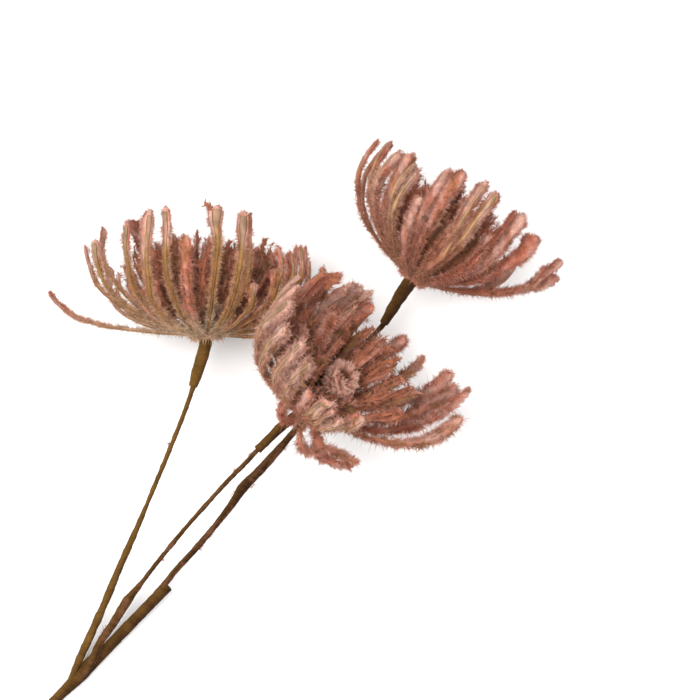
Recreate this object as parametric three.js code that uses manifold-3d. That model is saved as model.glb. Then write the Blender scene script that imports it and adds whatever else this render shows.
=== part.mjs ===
// A made pincushion protea spray, lying on a table: three flocked heads on wire stems that join one
// thicker stem. Millimetres. The spray lies along X and Y with its heads at the far side, and Z is up.
// The places are first measured from the corner where the branches join. The whole spray is then moved
// so that its bounding box stands with the middle of its foot at the origin.
import * as THREE from "three";
import { mergeVertices } from "three/addons/utils/BufferGeometryUtils.js";
import Module from "manifold-3d";

const wasm = await Module();
wasm.setup();

// Driving dimensions of the spray
const SPRAY_MIDDLE = new THREE.Vector2(98.715, 81.46);
const CLEARANCE = 0.3; // between pieces that touch
const TRUNK_RADIUS = 2.6;
const TAIL_RADIUS = 2.3; // of the trunk below the place where the branches join it
const WIRE_RADIUS = 1.05;
const WRAPPED_RADIUS = 1.85; // of a branch where the tape lies double
const SIDES = { wire: 8, collar: 10, hub: 12 }; // of the round pieces
const CUFF_LENGTH = 2; // of a collar's straight end below the head
const MERGE_WITHIN = 1e-4; // points closer than this are one

// Driving dimensions of a head, in its own frame: Z along its axis, from the top of the collar
const STRAP_ROOT = { radius: 4, height: 1.6 };
const BRUSH_ROOT = { radius: 2.4, height: 8.8, wider: 1.4, lower: 2.4 }; // from innermost to outermost
const STRAP_RIB_DEPTH = 1.15; // on the back of a strap
const STRAP_PILE_DEPTH = 0.75; // on its inner side
const STRAND_SAG = 0.2; // how high a strand's middle point lies, as a share of its rise
const TWIST_FROM = 0.45; // shares of a strap's length between which its twist grows
const TWIST_TO = 0.9;
const CURL_WIDTH = 6; // of a drooping strap at its tip
const FILL_WIDTH = { least: 3.8, spread: 3 };
const FILL_SPREAD = { azimuth: 0.3, reach: 6, rise: 8, sway: 6 }; // azimuth as a share of the gap
const STRAND_HALF_WIDTH = 1.2;
const STRAND_COUNT = 56;
const STRAND_REACH = { inner: 13, further: 22.5, strewn: 2 };
const STRAND_RISE = { inner: 36, drop: 11, strewn: 6 };
const STRAND_SWAY = 4;
const SHORTENED = 0.45; // a strand's share of its size where the brush is short
const BRUSH_BULGE = 0.8;
const RISER_SAG = 0.36;
const GOLDEN_ANGLE = 137.508;
const PRESS_HEIGHT = 1.1; // of a strap's middle where the table holds it up
const PRESS_SOFTNESS = 1.2;

// Profiles spun round a head's axis, as radius and height
const STRAP_HUB = [[0, 0], [5, 0], [6.2, 1.8], [5.6, 4], [0, 4.6]];
const BRUSH_HUB = [[0, 4.9], [4.4, 5], [4.8, 7], [4.2, 9], [0, 9.6]];
const BUTTON = [[0, 9.9], [1.6, 9.9], [1.6, 21], [5.4, 23.5], [7, 28], [5.6, 32.5], [2.4, 34.6], [0, 35]];

// Along a strand: share of its length and share of its width
const STRAND_STATIONS = [
  [0, 0.5],
  [0.34, 0.8],
  [0.72, 1],
  [1, 0.7],
];

const OLIVE = 0x6e5522;
const ROSE = 0xa8685c;
const MAUVE = 0x9c8079;
const TAPE = 0x5a3b1c;
const TAPE_ROUGHNESS = 0.8;
const PILE_ROUGHNESS = 0.95;

const deg = THREE.MathUtils.degToRad;
const point = (x, y, z) => new THREE.Vector3(x, y, z);

// Each head: where the top of its collar is, the way its axis points and how far that axis lifts off the
// table. A strap is azimuth, reach, rise, width at the tip, bulge, sag and the twist of its paddle.
// Azimuth 0 points left of the axis as seen from above, and 90 points up. A shaft is half a strap's width
// before it widens, and the flare is how early it does.
// Each fill is a range of azimuths, a number of straps, and their reach, rise, bulge and sag.
// Drooping straps follow points of their own, and risers are straps that stand among the brush.
// The brush is short between two azimuths.
const HEADS = {
  a: {
    base: point(92.3, 162.9, 42),
    heading: 90,
    lift: 0,
    seed: 11,
    shaft: 1.5,
    flare: 0.2,
    straps: [
      [-2.8, 70, 19, 3.2, 0.91, 0.12, 25],
      [11.5, 55, 40, 3.9, 0.96, 0.26, 9],
      [24, 54, 42.4, 4.8, 1.01, 0.26, -59],
      [28, 52, 47.3, 5.6, 1.06, 0.33, 34],
      [47.2, 50, 50.1, 4.2, 1.15, 0.18, -31],
      [61.1, 49.2, 55.2, 6.5, 1.28, 0.04, -42],
      [68, 45.6, 56.4, 5.3, 1.04, 0.15, 0],
      [79.5, 44, 43.5, 5.6, 1.08, 0.2, 0],
      [98.1, 46.5, 56.7, 7.4, 1.05, 0.49, -18],
      [112.2, 47.4, 54, 5.7, 0.98, 0.15, 12],
      [117.8, 45.8, 53.5, 3.2, 1.04, 0.2, -68],
      [135.8, 47.1, 39, 3.7, 1.15, 0.2, -12],
      [148, 46, 37, 3.4, 1.08, 0.14, 0],
      [159, 46.5, 39.5, 4.6, 1.08, 0.12, 12],
      [166.8, 48, 34.4, 6, 1.08, 0.01, 0],
      [178, 53.4, 30.5, 4, 1.11, -0.2, 39],
    ],
    fills: [
      [190, 318, 11, 46, 41, 1.08, 0.18],
      [322, 350, 3, 44, 27, 1.08, 0.12],
      [36, 64, 2, 38, 24, 1.02, 0.22],
      [118, 168, 3, 40, 26, 1.02, 0.2],
    ],
    drooping: [],
    risers: [[33, 38.5, 51, 6.4]],
    short: [0, 0],
  },
  b: {
    base: point(136.4, 130.5, 54),
    heading: 39.7,
    lift: 40,
    seed: 23,
    shaft: 2.1,
    flare: 0.8,
    straps: [
      [-35.2, 45.6, 43.5, 6.2, 1.07, 0.19, 0],
      [-47.8, 43.8, 40.5, 7, 1.08, 0.2, -25],
      [-54.8, 45, 40, 8, 1.08, 0.2, 0],
      [-62.6, 43.1, 38, 6.4, 1.08, 0.2, -25],
      [-95.2, 44.4, 35, 6, 1.13, 0.2, -18],
      [-111.2, 48, 35, 4.6, 1.16, 0.23, 18],
      [-124.2, 53.8, 42.5, 6.9, 1.13, 0.07, 0],
      [-131.7, 52.2, 44, 8.6, 1.16, -0.1, -62],
      [-139.8, 53.2, 50.9, 8.3, 1.17, -0.12, 25],
      [-153.8, 53.8, 47, 6.4, 1.07, 0.06, -25],
      [36.4, 50, 59.5, 7, 1.08, 0.2, 0],
      [45.5, 46, 50.5, 6.3, 1.05, 0.25, -5],
      [58, 43, 54.8, 6, 0.99, 0.3, 0],
      [68, 38, 50, 6, 0.95, 0.3, 0],
    ],
    fills: [
      [-22, 30, 6, 44, 52, 1.08, 0.2],
      [78, 150, 7, 24, 33, 0.92, 0.4],
      [-74, -36, 3, 40, 44, 1.08, 0.2],
    ],
    drooping: [
      [[-3, 3, 2], [-5.5, 6.6, -0.6], [-11, 9.4, -5.6], [-16, 7.8, -7.5], [-20, 4.6, -5]],
      [[-4, 0.4, 2], [-7.7, 0.4, 0], [-14, 1, -4.6], [-22, 1.8, -7.8], [-33.6, -1.4, -1]],
      [[-4, 2, 3], [-8, 4.4, 2.6], [-16.1, 5.2, 0.8], [-25.9, 4.4, 3.4], [-33.9, 2.4, 6.4]],
      [[-1, 4, 2.6], [-1, 11, 0.4], [4, 15.5, 1], [8, 15.5, 6]],
    ],
    risers: [[20, 24, 54, 7]],
    short: [70, 200],
  },
  c: {
    base: point(185, 189, 41),
    heading: 55.2,
    lift: 0,
    seed: 37,
    shaft: 2.1,
    flare: 0.6,
    straps: [
      [2.6, 48.6, 42, 4.8, 1.05, 0.15, -12],
      [21.9, 46.8, 44, 4.7, 1.03, 0.26, -12],
      [39, 48, 42.5, 7.4, 1.17, 0.23, 0],
      [47.6, 47, 44.6, 6, 1.1, 0.2, -5],
      [51, 46, 41.6, 4.2, 1.08, 0.2, 25],
      [56.2, 46, 38, 3.8, 1.08, 0.2, 0],
      [72, 45.4, 47.5, 8.4, 1.15, 0.2, 25],
      [79.5, 48.8, 50.1, 7.4, 1.12, 0.23, 25],
      [93.4, 46, 52.5, 5.4, 1.08, 0.2, 0],
      [101, 48.3, 50.8, 5.8, 1.02, 0.23, 0],
      [114.4, 49.2, 48.9, 3.8, 1.14, 0.2, -68],
      [121.6, 47.4, 49.9, 7.8, 1.01, 0.2, 0],
      [135.9, 48, 45.7, 8.6, 1.03, 0.33, 26],
      [157.1, 50.8, 37.2, 4.6, 1.02, 0.41, -25],
      [169.4, 52.1, 43.4, 6.8, 0.86, 0.32, 34],
      [178.4, 53.3, 37.1, 4.9, 0.81, 0.38, 8],
    ],
    fills: [
      [206, 250, 4, 40, 28, 0.95, 0.26],
      [250, 290, 4, 45, 44, 1.08, 0.2],
      [292, 318, 2, 42, 33, 1.08, 0.2],
      [320, 350, 3, 45, 42, 1.08, 0.2],
      [60, 132, 3, 42, 32, 1.04, 0.2],
    ],
    drooping: [],
    risers: [
      [80, 34, 45, 4.6],
      [112, 30, 42, 5],
    ],
    short: [150, 205],
  },
};

// The trunk and branches: points of each centre line with the radius there
const TRUNK = [
  [-53.6, -87.3, TAIL_RADIUS, TAIL_RADIUS],
  [-36, -66, TAIL_RADIUS, TAIL_RADIUS],
  [-14, -42, TAIL_RADIUS, TAIL_RADIUS],
  [8, -18.5, TAIL_RADIUS, TAIL_RADIUS],
  [24, -1.4, TAIL_RADIUS, TAIL_RADIUS],
  [29.5, 4, 2.7, 2.7],
  [34, 8.8, 3.45, 3.5],
  [39, 14.1, 3.2, 3.4],
  [45, 19.6, TRUNK_RADIUS, 4],
  [55.1, 30, TRUNK_RADIUS, 5.4],
  [65.2, 40.4, TRUNK_RADIUS, 7.3],
  [73.8, 49.2, TRUNK_RADIUS, 9.5],
].map(([x, y, radius, z]) => [point(x, y, z), radius]);

const STEM_A = [
  [28.4, 5.2, 1, 3.9],
  [30.2, 8.8, 1.3, 5],
  [33.4, 15.6, 1.75, 7.8],
  [39.2, 28.1, WRAPPED_RADIUS, 10.8],
  [45.7, 42.7, 1.75, 14.2],
  [52, 57.5, 1.7, 17.9],
  [57.3, 69.4, 1.55, 21],
  [63.3, 83, WIRE_RADIUS, 24.8],
  [69.7, 98.1, WIRE_RADIUS, 29],
  [75.2, 111.2, WIRE_RADIUS, 33],
  [81.9, 127.4, WIRE_RADIUS, 37.6],
  [86.6, 141, WIRE_RADIUS, 40.4],
  [88.8, 148.6, WIRE_RADIUS, 41.2],
].map(([x, y, radius, z]) => [point(x, y, z), radius]);

const STEM_B = [
  [32.6, 5.8, 1, 4.2],
  [35.9, 9.8, 1.4, 6.3],
  [39.4, 15.2, 2, 8.9],
  [43.2, 23.7, 1.7, 10.4],
  [48.6, 31.5, 1.85, 12],
  [55.6, 42.8, 2.2, 15],
  [62.3, 51.1, WIRE_RADIUS, 18],
  [68.7, 59.5, WIRE_RADIUS, 21],
  [76.4, 69, WIRE_RADIUS, 24.6],
  [84, 78.1, WIRE_RADIUS, 28.4],
  [92.6, 87.7, WIRE_RADIUS, 33],
  [102.1, 98.2, WIRE_RADIUS, 37.8],
  [111.6, 107.8, WIRE_RADIUS, 41.6],
  [115.9, 112.5, WIRE_RADIUS, 42.8],
  [121.6, 118, WIRE_RADIUS, 44.4],
].map(([x, y, radius, z]) => [point(x, y, z), radius]);

const STEM_C = [
  [68.4, 45.6, 1.35, 8.6],
  [73.4, 51.2, 1.35, 9.8],
  [77.4, 56.3, 1.35, 10.6],
  [86.9, 66.6, 1.45, 12],
  [96.8, 78.3, 1.35, 13.2],
  [104, 87.8, 1.9, 13.8],
  [108.5, 94.5, 2.35, 14.2],
  [116.1, 102.2, 2.1, 14.8],
  [124.5, 111.7, 1.85, 15.6],
  [133, 121.5, 1.3, 16.8],
  [153, 145.4, 1.2, 20.5],
  [164.5, 160, 1.2, 26],
  [173, 169.7, 1.2, 32.6],
  [176.9, 176.3, 1.2, 35.6],
].map(([x, y, radius, z]) => [point(x, y, z), radius]);

const STEMS = { a: STEM_A, b: STEM_B, c: STEM_C };

// Each collar: points of its centre line from its lower cuff up to the head, with the radius there
const COLLARS = {
  a: [
    [86.6, 141, 2.1, 40.4],
    [88.8, 148.6, 2.6, 41.2],
    [91.1, 156, 2.9, 41.8],
  ],
  b: [
    [115.9, 112.5, 2, 42.8],
    [121.6, 118, 2, 44.4],
    [128, 124.2, 2.3, 47.4],
  ],
  c: [
    [173, 169.7, 2, 32.6],
    [176.9, 176.3, 2.5, 35.6],
    [180.8, 182.9, 3.2, 38.8],
  ],
};

// The same draws on every run, from 0 to 1: each state is the last times a factor, modulo a prime
function seededDraws(seed) {
  const factor = 16807;
  const prime = 2147483647;
  let state = seed;
  return () => {
    state = (state * factor) % prime;
    return state / prime;
  };
}

// A closed solid through rings of points, each ring convex and with as many points as the next
function skin(rings) {
  const sides = rings[0].length;
  const faces = [];
  for (let i = 0; i + 1 < rings.length; i++) {
    for (let j = 0; j < sides; j++) {
      const a = i * sides + j;
      const b = i * sides + ((j + 1) % sides);
      faces.push(a, b, b + sides, a, b + sides, a + sides);
    }
  }
  const last = (rings.length - 1) * sides;
  for (let j = 1; j + 1 < sides; j++) {
    faces.push(0, j + 1, j);
    faces.push(last, last + j, last + j + 1);
  }
  const geometry = new THREE.BufferGeometry();
  geometry.setFromPoints(rings.flat());
  geometry.setIndex(faces);
  return geometry;
}

// A solid for joining and cutting, whichever way round the faces of the geometry are
function solidOf(geometry) {
  const bare = geometry.clone();
  bare.deleteAttribute("normal");
  bare.deleteAttribute("uv");
  const merged = mergeVertices(bare, MERGE_WITHIN);
  const make = (triVerts) => {
    const mesh = new wasm.Mesh({ numProp: 3, vertProperties: merged.attributes.position.array, triVerts });
    return new wasm.Manifold(mesh);
  };
  const faces = new Uint32Array(merged.index.array);
  const solid = make(faces);
  return solid.volume() > 0 ? solid : make(faces.reverse());
}

const joined = (geometries) => geometries.map(solidOf).reduce((whole, next) => whole.add(next));

function meshOf(name, solid, colour, roughness) {
  const { numProp, vertProperties, triVerts } = solid.getMesh();
  const geometry = new THREE.BufferGeometry();
  geometry.setAttribute("position", new THREE.BufferAttribute(vertProperties, numProp));
  geometry.setIndex(new THREE.BufferAttribute(triVerts, 1));
  geometry.computeVertexNormals();
  const material = new THREE.MeshStandardMaterial({ color: colour, roughness, metalness: 0 });
  const mesh = new THREE.Mesh(geometry, material);
  mesh.name = name;
  return mesh;
}

// Stems and collars

// A round solid along a smooth line through the stations, each a point and a radius, with a flat underside
function tube(stations, sides, steps, swell = 0) {
  const line = new THREE.CatmullRomCurve3(
    stations.map(([p]) => p),
    false,
    "centripetal",
  );
  const radii = stations.map(([, radius]) => radius + swell);
  const rings = [];
  for (let i = 0; i <= steps; i++) {
    const t = i / steps;
    const centre = line.getPoint(t);
    const along = line.getTangent(t);
    const side = point(along.y, -along.x, 0).normalize();
    const up = new THREE.Vector3().crossVectors(side, along);
    const place = t * (radii.length - 1);
    const before = Math.min(Math.floor(place), radii.length - 2);
    const radius = THREE.MathUtils.lerp(radii[before], radii[before + 1], place - before);
    centre.z = Math.max(centre.z, radius);
    rings.push(ringRound(centre, side, up, radius, sides));
  }
  return skin(rings);
}

// The ring's flats, not its corners, are at the radius, and one of them is at the bottom
function ringRound(centre, side, up, radius, sides) {
  const corner = radius / Math.cos(Math.PI / sides);
  return Array.from({ length: sides }, (_, j) => {
    const angle = ((j + 0.5) / sides - 0.25) * 2 * Math.PI;
    return centre
      .clone()
      .addScaledVector(side, corner * Math.cos(angle))
      .addScaledVector(up, corner * Math.sin(angle));
  });
}

function trunk() {
  let solid = solidOf(tube(TRUNK, SIDES.wire, 2 * (TRUNK.length - 1)));
  for (const stem of Object.values(STEMS)) {
    solid = solid.subtract(solidOf(tube(stem, SIDES.wire, stem.length - 1, CLEARANCE)));
  }
  return meshOf("trunk", solid, TAPE, TAPE_ROUGHNESS);
}

function branch(name, stations) {
  return meshOf(name, solidOf(tube(stations, SIDES.wire, stations.length - 1)), TAPE, TAPE_ROUGHNESS);
}

// A sleeve that ends square to the head's axis, bored at its lower end for the wire
function collar(name, stations, head, stem) {
  const axis = axisOf(head);
  const end = stations.at(-1)[2];
  const line = stations.map(([x, y, radius, z]) => [point(x, y, z), radius]);
  for (const below of [CUFF_LENGTH, CLEARANCE]) {
    line.push([head.base.clone().addScaledVector(axis, -below), end]);
  }
  const sleeve = solidOf(tube(line, SIDES.collar, 2 * (line.length - 1)));
  const bore = solidOf(tube(stem, SIDES.wire, stem.length - 1, CLEARANCE));
  return meshOf(name, sleeve.subtract(bore), TAPE, TAPE_ROUGHNESS);
}

// Heads

const outward = (azimuth) => point(Math.cos(deg(azimuth)), Math.sin(deg(azimuth)), 0);
const sideways = (azimuth) => point(-Math.sin(deg(azimuth)), Math.cos(deg(azimuth)), 0);

// The table holds up whatever would hang below it
function pressed(p, head) {
  const up = point(0, Math.cos(deg(head.lift)), Math.sin(deg(head.lift)));
  const height = head.base.z + p.dot(up);
  const over = (height - PRESS_HEIGHT) / PRESS_SOFTNESS;
  const lifted = over > 0 ? over + Math.log1p(Math.exp(-over)) : Math.log1p(Math.exp(over));
  const held = PRESS_HEIGHT + PRESS_SOFTNESS * lifted;
  return p.clone().addScaledVector(up, held - height);
}

// A bowed line from the hub out and up: a quadratic curve whose middle point lies out and low
function bowedLine(azimuth, root, reach, rise, bulge, sag, sway) {
  const out = outward(azimuth);
  const start = out.clone().multiplyScalar(root.radius).setZ(root.height);
  const middle = out.clone().multiplyScalar(bulge * reach).setZ(root.height + sag * rise);
  const end = out.clone().multiplyScalar(reach).addScaledVector(sideways(azimuth), sway).setZ(rise);
  return new THREE.QuadraticBezierCurve3(start, middle, end);
}

// A flat strap along a line, with a rib on its back, that widens into a paddle and turns by the twist
function strap(line, head, tipWidth, twist = 0) {
  const tip = tipWidth / 2;
  const shaft = Math.min(head.shaft, tip);
  const widened = (share) => shaft + share * (tip - shaft);
  // Share of the length, half of the width there and share of the full thickness
  const stations = [
    [0, 0.7, 0.7],
    [0.2, 1.1, 0.9],
    [0.42, shaft, 1],
    [0.64, widened(0.5 * head.flare), 1],
    [0.82, widened(0.35 + 0.5 * head.flare), 0.9],
    [0.94, tip, 0.8],
    [1, 0.6 * tip, 0.7],
  ];
  const rings = stations.map(([t, halfWidth, thickness]) => {
    const centre = pressed(line.getPoint(t), head);
    const along = line.getTangent(t);
    const turn = -deg(twist) * THREE.MathUtils.smoothstep(t, TWIST_FROM, TWIST_TO);
    const side = sideOf(line, along).applyAxisAngle(along, turn);
    const back = new THREE.Vector3().crossVectors(side, along).normalize();
    return [
      centre.clone().addScaledVector(side, halfWidth),
      centre.clone().addScaledVector(back, thickness * STRAP_RIB_DEPTH),
      centre.clone().addScaledVector(side, -halfWidth),
      centre.clone().addScaledVector(back, -thickness * STRAP_PILE_DEPTH),
    ];
  });
  return skin(rings);
}

// The way across a line that leaves the axis: level with the hub, to the left as seen from outside
function sideOf(line, along) {
  const away = line.getPoint(1).setZ(0).normalize();
  const side = point(-away.y, away.x, 0);
  return side.addScaledVector(along, -side.dot(along)).normalize();
}

// A thin three-sided strand of the brush
function strand(line, head) {
  const rings = STRAND_STATIONS.map(([t, size]) => {
    const centre = pressed(line.getPoint(t), head);
    const along = line.getTangent(t);
    const side = sideOf(line, along);
    const back = new THREE.Vector3().crossVectors(side, along).normalize();
    const half = size * STRAND_HALF_WIDTH;
    return [
      centre.clone().addScaledVector(side, half),
      centre.clone().addScaledVector(back, half),
      centre.clone().addScaledVector(side, -half),
    ];
  });
  return skin(rings);
}

// A profile of radius and height spun round the head's axis
function hub(profile) {
  const points = profile.map(([radius, height]) => new THREE.Vector2(radius, height));
  return new THREE.LatheGeometry(points, SIDES.hub).rotateX(Math.PI / 2);
}

// The outer ring: the straps that are placed one by one, then the fills between them, on one hub
function strapRing(name, head) {
  const draw = seededDraws(head.seed);
  const strewn = (spread) => spread * (draw() - 0.5);
  const blades = head.straps.map(([azimuth, reach, rise, width, bulge, sag, twist]) => {
    const line = bowedLine(azimuth, STRAP_ROOT, reach, rise, bulge, sag, 0);
    return strap(line, head, width, twist);
  });
  for (const [from, to, count, reach, rise, bulge, sag] of head.fills) {
    for (let i = 0; i < count; i++) {
      const azimuth = from + ((to - from) * (i + 0.5 + strewn(FILL_SPREAD.azimuth))) / count;
      const line = bowedLine(
        azimuth,
        STRAP_ROOT,
        reach + strewn(FILL_SPREAD.reach),
        rise + strewn(FILL_SPREAD.rise),
        bulge,
        sag,
        strewn(FILL_SPREAD.sway),
      );
      blades.push(strap(line, head, FILL_WIDTH.least + FILL_WIDTH.spread * draw()));
    }
  }
  for (const places of head.drooping) {
    const line = new THREE.CatmullRomCurve3(places.map((place) => point(...place)));
    blades.push(strap(line, head, CURL_WIDTH));
  }
  return meshOf(name, joined([hub(STRAP_HUB), ...blades]), OLIVE, PILE_ROUGHNESS);
}

// The inner ring: strands that fan out evenly by the golden angle, the outermost the lowest
function brushRing(name, head) {
  const draw = seededDraws(head.seed + 1);
  const strewn = (spread) => spread * (draw() - 0.5);
  const [shortFrom, shortTo] = head.short;
  const strands = [];
  for (let i = 0; i < STRAND_COUNT; i++) {
    const spread = Math.sqrt((i + 0.5) / STRAND_COUNT);
    const azimuth = (i * GOLDEN_ANGLE) % 360;
    const size = azimuth > shortFrom && azimuth < shortTo ? SHORTENED : 1;
    const outwards = STRAND_REACH.inner + STRAND_REACH.further * spread + strewn(STRAND_REACH.strewn);
    const reach = size * outwards;
    const height = STRAND_RISE.inner - STRAND_RISE.drop * spread * spread + strewn(STRAND_RISE.strewn);
    const rise = BRUSH_ROOT.height + size * height;
    const root = {
      radius: BRUSH_ROOT.radius + BRUSH_ROOT.wider * spread,
      height: BRUSH_ROOT.height - BRUSH_ROOT.lower * spread,
    };
    const line = bowedLine(azimuth, root, reach, rise, BRUSH_BULGE, STRAND_SAG, strewn(STRAND_SWAY));
    strands.push(strand(line, head));
  }
  for (const [azimuth, reach, rise, width] of head.risers) {
    const line = bowedLine(azimuth, BRUSH_ROOT, reach, rise, BRUSH_BULGE, RISER_SAG, 0);
    strands.push(strap(line, head, width));
  }
  return meshOf(name, joined([hub(BRUSH_HUB), ...strands]), ROSE, PILE_ROUGHNESS);
}

// The button: a pile ball on a stalk
const button = (name) => meshOf(name, solidOf(hub(BUTTON)), MAUVE, PILE_ROUGHNESS);

function axisOf({ heading, lift }) {
  const level = Math.cos(deg(lift));
  return point(level * Math.cos(deg(heading)), level * Math.sin(deg(heading)), Math.sin(deg(lift)));
}

// A head's own frame: X left of its axis, Y up as far as its lift lets it, Z along the axis
function headGroup(key, head) {
  const axis = axisOf(head);
  const left = point(-Math.sin(deg(head.heading)), Math.cos(deg(head.heading)), 0);
  const upper = new THREE.Vector3().crossVectors(axis, left);
  const group = new THREE.Group();
  group.quaternion.setFromRotationMatrix(new THREE.Matrix4().makeBasis(left, upper, axis));
  group.position.copy(head.base);
  group.add(strapRing("straps_" + key, head), brushRing("brush_" + key, head), button("button_" + key));
  return group;
}

const spray = new THREE.Group();
spray.position.set(-SPRAY_MIDDLE.x, -SPRAY_MIDDLE.y, 0);
spray.add(trunk(), ...Object.keys(STEMS).map((key) => branch("stem_" + key, STEMS[key])));
for (const [key, head] of Object.entries(HEADS)) {
  spray.add(collar("collar_" + key, COLLARS[key], head, STEMS[key]), headGroup(key, head));
}

const part = new THREE.Group();
part.add(spray);
export default part;
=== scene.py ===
# %% [markdown]
# A made pincushion protea spray, lying on a table. The real one is a bunch of moulded straps with short
# flock blown onto them, on wires that are wound with brown paper tape. The imported solids give every piece
# its place, and this lesson gives each its fine surface: thin straps with a bare rib, thousands of flock
# hairs, and tape. It starts with the solids.

# %% Load the solids
import bpy
import numpy as np
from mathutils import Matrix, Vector


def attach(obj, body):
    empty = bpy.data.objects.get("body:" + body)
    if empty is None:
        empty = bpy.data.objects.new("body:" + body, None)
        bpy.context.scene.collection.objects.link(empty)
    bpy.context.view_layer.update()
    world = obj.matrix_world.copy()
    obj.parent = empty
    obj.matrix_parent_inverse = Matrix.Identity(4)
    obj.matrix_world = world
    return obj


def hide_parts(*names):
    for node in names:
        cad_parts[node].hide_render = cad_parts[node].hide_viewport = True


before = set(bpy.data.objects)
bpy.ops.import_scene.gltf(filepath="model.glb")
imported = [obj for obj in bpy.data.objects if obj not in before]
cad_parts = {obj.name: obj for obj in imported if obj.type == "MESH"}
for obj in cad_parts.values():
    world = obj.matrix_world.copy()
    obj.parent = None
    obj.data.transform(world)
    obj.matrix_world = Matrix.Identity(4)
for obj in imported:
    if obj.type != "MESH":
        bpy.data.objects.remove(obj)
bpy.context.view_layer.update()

print("solids:", ", ".join(sorted(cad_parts)))

# %% [markdown]
# The camera looks straight down, because the photograph shows the spray upright and here it lies down. A
# long lens from two metres keeps the heads' proportions, as a studio camera does. The places below are in
# millimetres from the corner where the branches join, and SPRAY_MIDDLE carries them into the part's frame.

# %% Camera
MM = 0.001
SPRAY_MIDDLE = np.array([98.715, 81.46, 0.0])
VIEW_MIDDLE = np.array([157.5, 157.5, 50.0]) - SPRAY_MIDDLE
VIEW_WIDTH = 315.0
VIEW_DISTANCE = 2190.0
SENSOR_WIDTH = 36.0

camera_data = bpy.data.cameras.new("camera")
camera_data.sensor_width = SENSOR_WIDTH
camera_data.lens = SENSOR_WIDTH * VIEW_DISTANCE / VIEW_WIDTH
camera = bpy.data.objects.new("camera", camera_data)
camera.location = (VIEW_MIDDLE + [0, 0, VIEW_DISTANCE]) * MM
bpy.context.scene.collection.objects.link(camera)
bpy.context.scene.camera = camera
bpy.context.scene.view_settings.view_transform = "Standard"
print("lens", round(camera_data.lens, 1), "mm at", [round(x, 3) for x in camera.location])

# %% [markdown]
# Every mesh here is made the same way: arrays of points in millimetres go into a new mesh in metres,
# with its faces, and a colour at each point. Whole arrays go in at once with foreach_set, which is
# much quicker than adding points one by one. Each finished piece then rides on the spray's one body.

# %% Put arrays into a mesh
TINT = "tint"
TAPE_MAP = "tape"
LEAST_HEIGHT = 0.02


def put_mesh(name, points, faces, material, tint, corner_uv=None, normals=None):
    """A new object at the origin. points is (n, 3) in millimetres and faces a list of (k, sides) index
    arrays. tint is (n, 3), a linear colour at each point, corner_uv is (corners, 2), and normals
    (n, 3) replace the mesh's own. Nothing may reach below the table, so z is at least LEAST_HEIGHT."""
    mesh = bpy.data.meshes.new(name)
    held = np.column_stack([points[:, :2], np.maximum(points[:, 2], LEAST_HEIGHT)])
    mesh.vertices.add(len(held))
    mesh.vertices.foreach_set("co", (held * MM).astype(np.float32).ravel())
    sides = np.concatenate([np.full(len(f), f.shape[1]) for f in faces])
    corners = np.concatenate([f.ravel() for f in faces])
    mesh.loops.add(len(corners))
    mesh.loops.foreach_set("vertex_index", corners.astype(np.int32))
    mesh.polygons.add(len(sides))
    mesh.polygons.foreach_set("loop_start", (np.cumsum(sides) - sides).astype(np.int32))
    mesh.polygons.foreach_set("use_smooth", np.full(len(sides), True))
    colours = np.column_stack([tint, np.ones(len(tint))]).astype(np.float32)
    mesh.color_attributes.new(TINT, "FLOAT_COLOR", "POINT").data.foreach_set("color", colours.ravel())
    if corner_uv is not None:
        mesh.uv_layers.new(name=TAPE_MAP).data.foreach_set("uv", corner_uv.astype(np.float32).ravel())
    mesh.update(calc_edges=True)
    if normals is not None:
        mesh.normals_split_custom_set_from_vertices(normals.astype(np.float32))
    mesh.materials.append(material)
    piece = bpy.data.objects.new(name, mesh)
    bpy.context.scene.collection.objects.link(piece)
    return piece


def dress(piece, slot, *nodes):
    """The piece rides on the one body
    and stands for the nodes. Returns its triangles. The slot is not used."""
    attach(piece, "root")
    if nodes:
        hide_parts(*nodes)
    triangles = len(piece.data.loops) - 2 * len(piece.data.polygons)
    print(piece.name, "stands for", nodes or "nothing,", "triangles:", triangles)
    return triangles


# %% [markdown]
# Four helpers come up again and again: a blend between two values over a range, a mix
# of colours, random draws that are the same on every run, and vectors of length 1. The
# draws are those of the solids, so that the straps land where the solids' straps are.

# %% Small helpers
def ease(low, high, x):
    """0 below low, 1 above high, and the smooth curve 3w^2 - 2w^3 between them."""
    w = np.clip((x - low) / (high - low), 0, 1)
    return w * w * (3 - 2 * w)


def mixed(a, b, share):
    """a where share is 0 and b where it is 1; share has one dimension less than the colours."""
    return a + (b - a) * np.asarray(share)[..., None]


def draws(seed, count):
    """Each state is 16807 times the last, modulo 2^31 - 1, scaled to 0..1."""
    prime = 2147483647
    return np.array([seed * pow(16807, k + 1, prime) % prime for k in range(count)]) / prime


def unit(v):
    """Vectors of length 1."""
    return v / np.maximum(np.linalg.norm(v, axis=-1, keepdims=True), 1e-9)


print("first draws from 11:", draws(11, 3).round(4))

# %% [markdown]
# The flock is dusty rose, and shades into salmon, dun and ash. Where it is missing, olive plastic shows.
# Each colour is given as it looks on a screen, and turned into the linear light that Blender mixes.

# %% Colours
def linear(*screen):
    """Linear colour from 0..255 screen values: c / 12.92 in the
    darkest tones and ((c + 0.055) / 1.055)^2.4 above them."""
    c = np.array(screen) / 255
    return np.where(c <= 0.04045, c / 12.92, ((c + 0.055) / 1.055) ** 2.4)


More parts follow.
